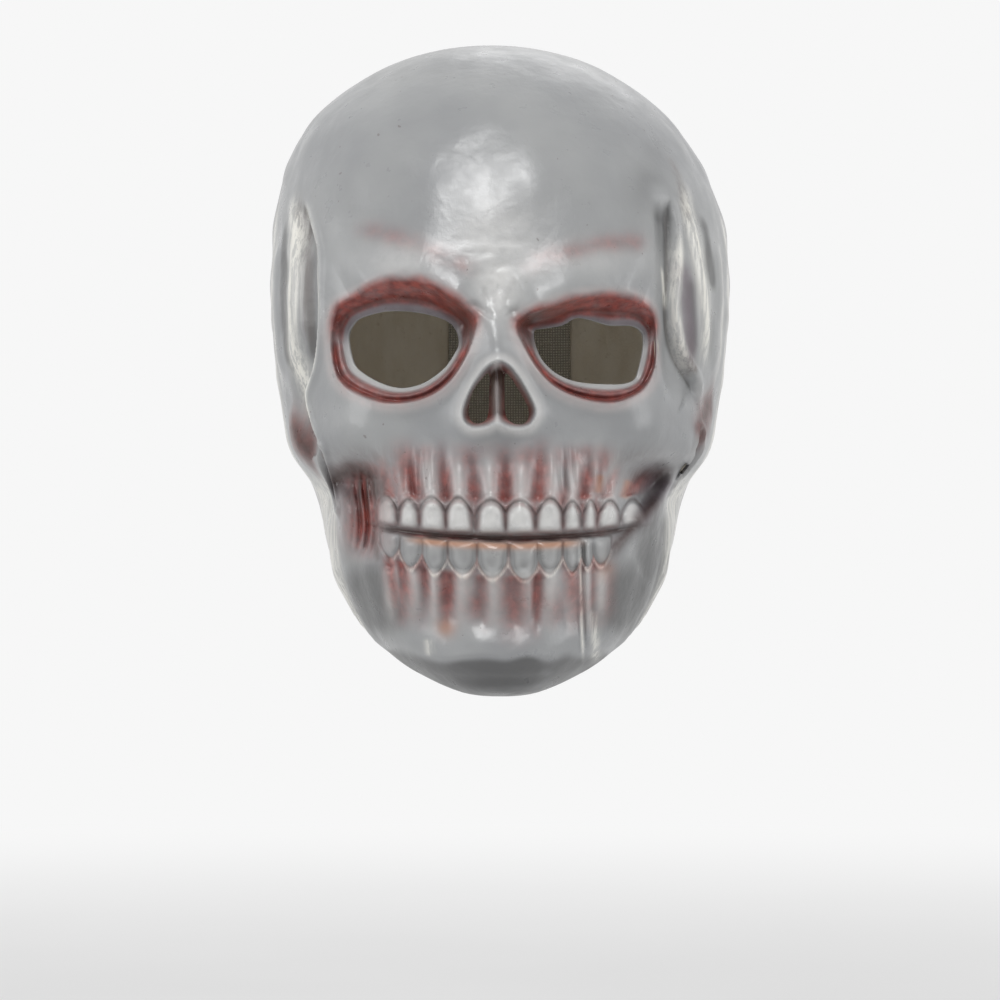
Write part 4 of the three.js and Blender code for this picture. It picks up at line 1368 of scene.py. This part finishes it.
def side_place(side, y, z, radius=6):
    return lambda p: np.where(side * p[:, 0] > 0, rounded(p[:, 1], p[:, 2], y, z, radius), -5)


def patch_sheet(place, turns, heights, step, depth, detail=True):
    """The part of the skin where place is above 0, sunk to that depth."""
    steps = [(-131.5, step), (122.5, step)]
    sheet = Sheet(columns(*turns, step, step, step), rows(*heights, steps), 0, detail)
    sheet.cut(place).settle()
    sheet.inside = np.maximum(place(sheet.base), 0)
    sunk = depth(sheet.base) if callable(depth) else np.full(len(sheet.points), depth)
    sheet.points = sheet.points - sheet.normals * sunk[:, None]
    return sheet


def slab(name, sheet, thickness, material):
    """A closed piece between the sheet and its thickness further in, which can vary from point to point."""
    count = len(sheet.points)
    under = sheet.points - sheet.normals * np.broadcast_to(thickness, count)[:, None]
    faces = sheet.faces()
    walls = [[b, a, a + count, b + count] for a, b in open_edges(faces).items()]
    inner = [[i + count for i in reversed(face)] for face in faces]
    return make_object(name, np.vstack([sheet.points, under]), faces + walls + inner, material)


def cushioned(sheet, thickness, radius=4.0):
    """Thickness of a soft pad, rounding off towards its edge."""
    near = 1 - np.clip(sheet.inside / radius, 0, 1)
    dimples = 0.02 * ripple(sheet.base[:, 0] + sheet.base[:, 1], sheet.base[:, 2], 41, wave=13)
    return thickness * (0.35 + 0.65 * np.sqrt(1 - near**2)) * (0.96 + dimples)


def finish(piece, node, body=None, side=0):
    """Hides the piece's CAD node, and fixes it to a body, or on a side only bakes its placement into its
    points.
    """
    if node:
        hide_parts(node)
    if side:
        bend(piece, side)
    else:
        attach(piece, body)
    return piece


def foam_pads():
    places = {
        "forehead_pad": (front_place((-42, 42), (48, 76)), (-0.75, 0.75), (42, 82)),
        "left_temple_pad": (side_place(1, (-22, 14), (24, 58)), (1.0, 2.1), (18, 64)),
        "right_temple_pad": (side_place(-1, (-22, 14), (24, 58)), (-2.1, -1.0), (18, 64)),
    }
    for name, (place, turns, heights) in places.items():
        sheet = patch_sheet(place, turns, heights, 1.5, AGAINST_LINING, False)
        pad = slab(f"{name}_foam", sheet, cushioned(sheet, FOAM), FOAM_PADDING)
        finish(pad, name, "mask_shell")


def crown_height(x, y):
    """Height of the head form over a point near the crown."""
    turn, reach = np.arctan2(x - CROWN_LEAN, -y), np.hypot(x - CROWN_LEAN, y)
    low, high = np.zeros(x.shape), np.full(x.shape, 0.3)
    for _ in range(30):
        middle = (low + high) / 2
        p = head_form(turn, middle)
        short = np.hypot(p[:, 0] - CROWN_LEAN, p[:, 1]) < reach
        low, high = np.where(short, middle, low), np.where(short, high, middle)
    return head_form(turn, low)[:, 2]


def ringed(rings):
    """Points and faces of a closed body made of rings of points, closed by a fan at each end."""
    n, m = len(rings), len(rings[0])
    points = np.vstack([*rings, rings[0].mean(0), rings[-1].mean(0)])
    faces = []
    for i in range(n - 1):
        for k in range(m):
            a, b = i * m + k, i * m + (k + 1) % m
            faces.append([a, a + m, b + m, b])
    faces += [[n * m, k, (k + 1) % m] for k in range(m)]
    faces += [[n * m + 1, (n - 1) * m + (k + 1) % m, (n - 1) * m + k] for k in range(m)]
    return points, faces


def crown_pad():
    """A disc of foam that fills the space under the crown, flat where it rests on the head."""
    angles = np.linspace(0, 2 * math.pi, 97)[:-1]
    rings = []
    shares = [(s, True) for s in np.linspace(0.03, 1, 24)]
    shares += [(s, False) for s in np.linspace(0.985, 0.03, 24)]
    for share, upper in shares:
        reach = CROWN_PAD * share
        x, y = CROWN_LEAN + reach * np.cos(angles), 2 + reach * np.sin(angles)
        round_off = 1 - math.sqrt(1 - np.clip((share - 0.94) / 0.06, 0, 1) ** 2)
        top = crown_height(x, y) - AGAINST_LINING - TAPE - 0.9
        middle = (top + CROWN_PAD_Z) / 2
        z = top if upper else CROWN_PAD_Z + 0.25 * ripple(x, y, 43, wave=15) + 0.3
        rings.append(np.column_stack([x, y, z + (middle - z) * round_off]))
    pad = make_object("crown_pad_foam", *ringed(rings), FOAM_PADDING)
    finish(pad, "crown_pad", "mask_shell")


def tapes():
    def seam(p):
        return np.minimum(TAPE_REACH - np.abs(p[:, 1] - SEAM_Y), p[:, 2] - SLIT_TOP - 4)

    sheet = patch_sheet(seam, (1.4, 2 * math.pi - 1.4), (30, 122.4), 1.6, AGAINST_LINING)
    finish(slab("seam_binding", sheet, TAPE, BIAS), "seam_tape", "mask_shell")
    back = (math.pi - 0.75, math.pi + 0.75)
    end = patch_sheet(back_place((-16, 16), (32, 56), 3), back, (26, 62), 1.2, AGAINST_LINING)
    finish(slab("slit_end_reinforcement", end, TAPE, COTTON), "slit_end_patch", "mask_shell")
    for side, node, reach in ((1, "left_slit_tape", (1.05, 30)), (-1, "right_slit_tape", (-22, -1.05))):
        sheet = patch_sheet(back_place(reach, (-94, 26)), back, (-99, 30), 1.2, AGAINST_LINING)
        finish(slab(f"{node}_strip", sheet, TAPE, COTTON), node, side=side)


def care_label():
    """A blank satin label, glued at its top and curling a little away from the skin at its foot."""
    def curl(p):
        return AGAINST_LINING + 1.4 * smooth(-76, -89, p[:, 2]) ** 2

    turns = (math.pi - 0.95, math.pi - 0.25)
    sheet = patch_sheet(back_place((36, 54), (-88, -64), 0.6), turns, (-92, -60), 0.8, curl)
    label = finish(slab("satin_label", sheet, LABEL, SATIN), "care_label", side=1)


def ribs(p):
    """The webbing's woven ribs: how far each point stands out."""
    row = np.floor((p[:, 2] - STRAP_Z) / 1.3)
    across = np.cos((p[:, 2] - STRAP_Z) / 1.3 * 2 * math.pi)
    return 0.1 * np.cos((p[:, 0] + 0.8 * (row % 2)) * math.pi / 0.8) - 0.06 * across


def webbing_piece(name, x, depth, turns):
    heights = (STRAP_Z - STRAP_HALF, STRAP_Z + STRAP_HALF)
    place = back_place(x, heights, 0.8)
    wide = (heights[0] - 4, heights[1] + 4)
    sheet = patch_sheet(place, turns, wide, 0.4, lambda p: depth(p) - WEBBING - ribs(p))
    return slab(name, sheet, WEBBING, BLACK_WEB)


def on_skin(p):
    """Depth of the near face of webbing that lies on the skin."""
    return np.full(len(p), ON_SKIN)


def rise(p):
    """Depth of the strap's near face: from the anchor, up over the pile."""
    on_anchor = ON_SKIN - WEBBING - 0.25
    return on_anchor + (OVER_PILE - on_anchor) * smooth(15, 6, p[:, 0])


def on_back(x, z):
    """Turn and share of the places at the back of the head form that have these x and z."""
    share = np.interp(-z, -section_at(np.linspace(0, 1, 800))[:, 0], np.linspace(0, 1, 800))
    low, high = np.full(x.shape, math.pi / 2), np.full(x.shape, 1.5 * math.pi)
    for _ in range(30):
        middle = (low + high) / 2
        beyond = head_form(middle, share)[:, 0] > x
        low, high = np.where(beyond, middle, low), np.where(beyond, high, middle)
    return low, share


def back_point(x, z, depth):
    """Points at that depth under the skin at the back, and the way out of it."""
    turn, share = on_back(x, z)
    here = skin(turn, share)
    along = skin(turn + 0.01, share) - skin(turn - 0.01, share)
    down = skin(turn, share + 0.002) - skin(turn, share - 0.002)
    out = unit(np.cross(down, along))
    return here - out * depth, out


def stitch_line(corners, length=2.6, space=0.7):
    """Starts and ends of the stitches along a line of (x, z) corners."""
    pairs = []
    for a, b in zip(corners[:-1], corners[1:]):
        a, b = np.array(a, float), np.array(b, float)
        span = np.hypot(*(b - a))
        count = max(1, int(round(span / (length + space))))
        for k in range(count):
            pairs.append((a + (b - a) * (k + 0.12) / count, a + (b - a) * (k + 0.88) / count))
    return pairs


def stitches(name, lines, depth):
    """Thread lying on a face at the back of the mask: one plump stitch after another."""
    points, faces = [], []
    for start, end in (pair for line in lines for pair in stitch_line(line)):
        f = np.linspace(0, 1, 7)
        path = start + (end - start) * f[:, None]
        middle, out = back_point(path[:, 0], path[:, 1], depth)
        middle = middle + out * (0.34 * np.sin(math.pi * f) - 0.12)[:, None]
        along = unit(np.gradient(middle, axis=0))
        across = np.cross(along, out)
        thick = 0.12 + 0.24 * np.sin(math.pi * f) ** 0.5
        turns = np.linspace(0, 2 * math.pi, 9)[:-1]
        rings = [m + t * (np.outer(np.cos(turns), a) + np.outer(np.sin(turns), o))
                 for m, t, a, o in zip(middle, thick, across, out)]
        made, shape = ringed(rings)
        base = sum(len(p) for p in points)
        points.append(made)
        faces += [[i + base for i in face] for face in shape]
    return make_object(name, np.vstack(points), faces, THREAD)


def strap():
    low, high = STRAP_Z - STRAP_HALF, STRAP_Z + STRAP_HALF
    anchor = webbing_piece("strap_anchor_webbing", (FOLD_X - 2, 33), on_skin, (math.pi - 0.6, math.pi + 0.1))
    finish(anchor, "strap_anchor", side=1)
    bars = [[(31, low + 2), (31, high - 2)], [(29.6, high - 2), (29.6, low + 2)]]
    finish(stitches("strap_anchor_stitches", bars, ON_SKIN - WEBBING - 0.1), None, side=1)
    tongue = webbing_piece("strap_tongue_webbing", (-36, FOLD_X + 4), rise, (math.pi - 0.4, math.pi + 0.65))
    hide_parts("strap_tongue")
    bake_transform(tongue)
    box = [(-31, low + 3), (-7, low + 3), (-7, high - 3), (-31, high - 3), (-31, low + 3)]
    lines = [box, [(-34, low + 2), (-34, high - 2)]]
    finish(stitches("hook_stitches", lines, OVER_PILE - WEBBING - 0.1), None, "closure_tab")


def tufts(name, x, z, depth, height, pitch, material):
    """Short bent hooks or loops standing on a pad."""
    random = np.random.default_rng(7)
    gx, gz = (a.ravel() for a in np.meshgrid(np.arange(*x, pitch), np.arange(*z, pitch)))
    gx = gx + random.uniform(-0.3, 0.3, gx.shape) * pitch
    gz = gz + random.uniform(-0.3, 0.3, gz.shape) * pitch
    foot, out = back_point(gx, gz, depth)
    lean_x = random.uniform(-1, 1, gx.shape)
    lean = np.column_stack([lean_x, np.zeros(gx.shape), random.uniform(-1, 1, gx.shape)])
    turns = np.linspace(0, 2 * math.pi, 6)[:-1]
    points, faces = [], []
    for f, o, side_way in zip(foot, out, lean):
        across, up = np.cross(o, [0, 0, 1]), np.array([0, 0, 1])
        rings = []
        for share, thick in ((0, 0.16), (0.45, 0.13), (0.8, 0.13), (1, 0.2)):
            middle = f + o * height * share + side_way * 0.35 * share**2
            rings.append(middle + thick * (np.outer(np.cos(turns), across) + np.outer(np.sin(turns), up)))
        made, shape = ringed(rings[::-1] if height < 0 else rings)
        base = len(made) * len(points)
        points.append(made)
        faces += [[i + base for i in face] for face in shape]
    made = make_object(name, np.vstack(points), faces, material)
    return made


def pile_pads():
    turns = (math.pi - 0.25, math.pi + 0.65)
    loop = patch_sheet(back_place((-34, -4), (-87, -57), 2), turns, (-91, -53), 0.7, ON_SKIN - PILE)
    uneven = 0.22 * ripple(loop.base[:, 0], loop.base[:, 2], 51, wave=1.9)
    loop.points = loop.points + loop.normals * uneven[:, None]
    finish(slab("loop_pad_pile", loop, PILE, LOOPS), "loop_pad", side=-1)
    bend(tufts("loop_tufts", (-33, -5), (-86, -58), ON_SKIN - PILE, 0.55, 1.0, LOOPS), -1)
    hook = patch_sheet(back_place((-32, -6), (-83, -61), 2), turns, (-87, -57), 1.0, OVER_PILE + 0.1)
    finish(slab("hook_pad_backing", hook, PILE, HOOKS), "hook_pad", "closure_tab")
    hooks = tufts("hook_tufts", (-31, -7), (-82, -62), OVER_PILE + 0.1 + PILE, -0.75, 1.0, HOOKS)
    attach(hooks, "closure_tab")


def rivet(index, z):
    """A tubular rivet: its domed cap on the strap, its shank, and its clenched ring on the tape inside."""
    top, foot = -ON_SKIN + WEBBING + 0.1, -(AGAINST_LINING + TAPE)
    (place,), (out,) = back_point(np.array([RIVET_X]), np.array([z]), 0)
    across = unit(np.cross([[0, 0, 1]], [out]))[0]
    up = np.cross(out, across)
    turns = np.linspace(0, 2 * math.pi, 49)[:-1]
    rings = []
    for level, section in ((top, RIVET_CAP), (foot, RIVET_RING)):
        for reach, height in section:
            petals = 1 + 0.06 * np.cos(6 * turns) * (level == foot and height < -0.2)
            flat = np.outer(np.cos(turns) * petals, across) + np.outer(np.sin(turns) * petals, up)
            rings.append(place + out * (level + height) + reach * flat)
    made = make_object(f"strap_rivet_{index}_cap", *ringed(rings), STEEL)
    finish(made, f"strap_rivet_{index}", side=1)


foam_pads()
crown_pad()
tapes()
care_label()
strap()
pile_pads()
for index, z in enumerate(RIVET_HEIGHTS, 1):
    rivet(index, z)


# ---------------------------------------------------------------- the studio
ROOM_FRONT = 0.28
ROOM_BACK = 0.93
# name, place, size and power of each soft light, in metres and watts
LAMPS = [
    ("key", (-0.12, -1.25, 1.45), 0.6, 19), ("left_fill", (-1.7, -0.45, 0.35), 0.8, 7),
    ("right_fill", (1.7, -0.45, 0.35), 0.8, 7), ("back_light", (0.3, 1.6, 1.4), 0.9, 3),
]
FLOOR = -0.36
FLOOR_FADE = (0.6, 2.2)  # the floor turns as bright as the room between these distances from its middle


def room_light(tree, direction):
    """The room's brightness in each direction: brightest behind the mask, and dimmer in front of it."""
    parts = tree.nodes.new("ShaderNodeSeparateXYZ")
    tree.links.new(direction, parts.inputs[0])
    ramp = tree.nodes.new("ShaderNodeMapRange")
    ramp.interpolation_type = "SMOOTHSTEP"
    for key, value in zip(("From Min", "From Max", "To Min", "To Max"), (-0.5, 0.75, ROOM_FRONT, ROOM_BACK)):
        ramp.inputs[key].default_value = value
    tree.links.new(parts.outputs["Y"], ramp.inputs["Value"])
    return ramp.outputs[0]


def light_room(tree):
    direction = tree.nodes.new("ShaderNodeTexCoord").outputs["Generated"]
    tree.links.new(room_light(tree, direction), tree.nodes["Background"].inputs["Strength"])
    tree.nodes["Background"].inputs["Color"].default_value = (1, 1, 1, 1)


def studio():
    scene = bpy.context.scene
    scene.view_settings.view_transform = "Standard"
    scene.view_settings.look = "None"
    world = bpy.data.worlds.new("studio")
    world.use_nodes = True
    light_room(world.node_tree)
    scene.world = world
    camera = bpy.data.objects.new("camera", bpy.data.cameras.new("camera"))
    camera.data.lens = LENS
    camera.data.sensor_width = 36
    camera.location = (0, -PUPIL_TO_LENS * MM, CAMERA_Z * MM)
    camera.rotation_euler = (math.pi / 2, 0, 0)
    scene.collection.objects.link(camera)
    scene.camera = camera
    for name, place, size, power in LAMPS:
        light = bpy.data.lights.new(name, "AREA")
        light.size = size
        light.energy = power
        lamp = bpy.data.objects.new(name, light)
        lamp.location = place
        lamp.rotation_euler = (-Vector(place)).to_track_quat("-Z", "Y").to_euler()
        scene.collection.objects.link(lamp)


def floor_paint():
    """White, and as bright as the room further out, so that the floor has no horizon."""
    s = Shader("pale_floor", Roughness=0.8)
    s.colour(s.mix(s.remap(s.noise(400, 2), 0.3, 0.7), (0.8, 0.8, 0.8), (0.83, 0.83, 0.83)))
    length = s.tree.nodes.new("ShaderNodeVectorMath")
    length.operation = "LENGTH"
    s.link(s.object, length.inputs[0])
    away = s.remap(length.outputs["Value"], *FLOOR_FADE)
    outwards = s.tree.nodes.new("ShaderNodeVectorMath")
    outwards.operation = "NORMALIZE"
    s.link(s.object, outwards.inputs[0])
    glow = s.tree.nodes.new("ShaderNodeEmission")
    s.link(room_light(s.tree, outwards.outputs[0]), glow.inputs["Strength"])
    blend = s.tree.nodes.new("ShaderNodeMixShader")
    s.link(away, blend.inputs[0])
    s.link(s.bsdf.outputs[0], blend.inputs[1])
    s.link(glow.outputs[0], blend.inputs[2])
    s.link(blend.outputs[0], s.tree.nodes["Material Output"].inputs["Surface"])
    return s.material


def floor():
    mesh = bpy.data.meshes.new("floor")
    ring = [(20 * math.cos(a), 20 * math.sin(a), FLOOR) for a in np.linspace(0, 2 * math.pi, 65)[:-1]]
    mesh.from_pydata(ring, [], [list(range(64))])
    mesh.materials.append(floor_paint())
    made = bpy.data.objects.new("floor", mesh)
    bpy.context.scene.collection.objects.link(made)


studio()
floor()
bpy.context.view_layer.update()
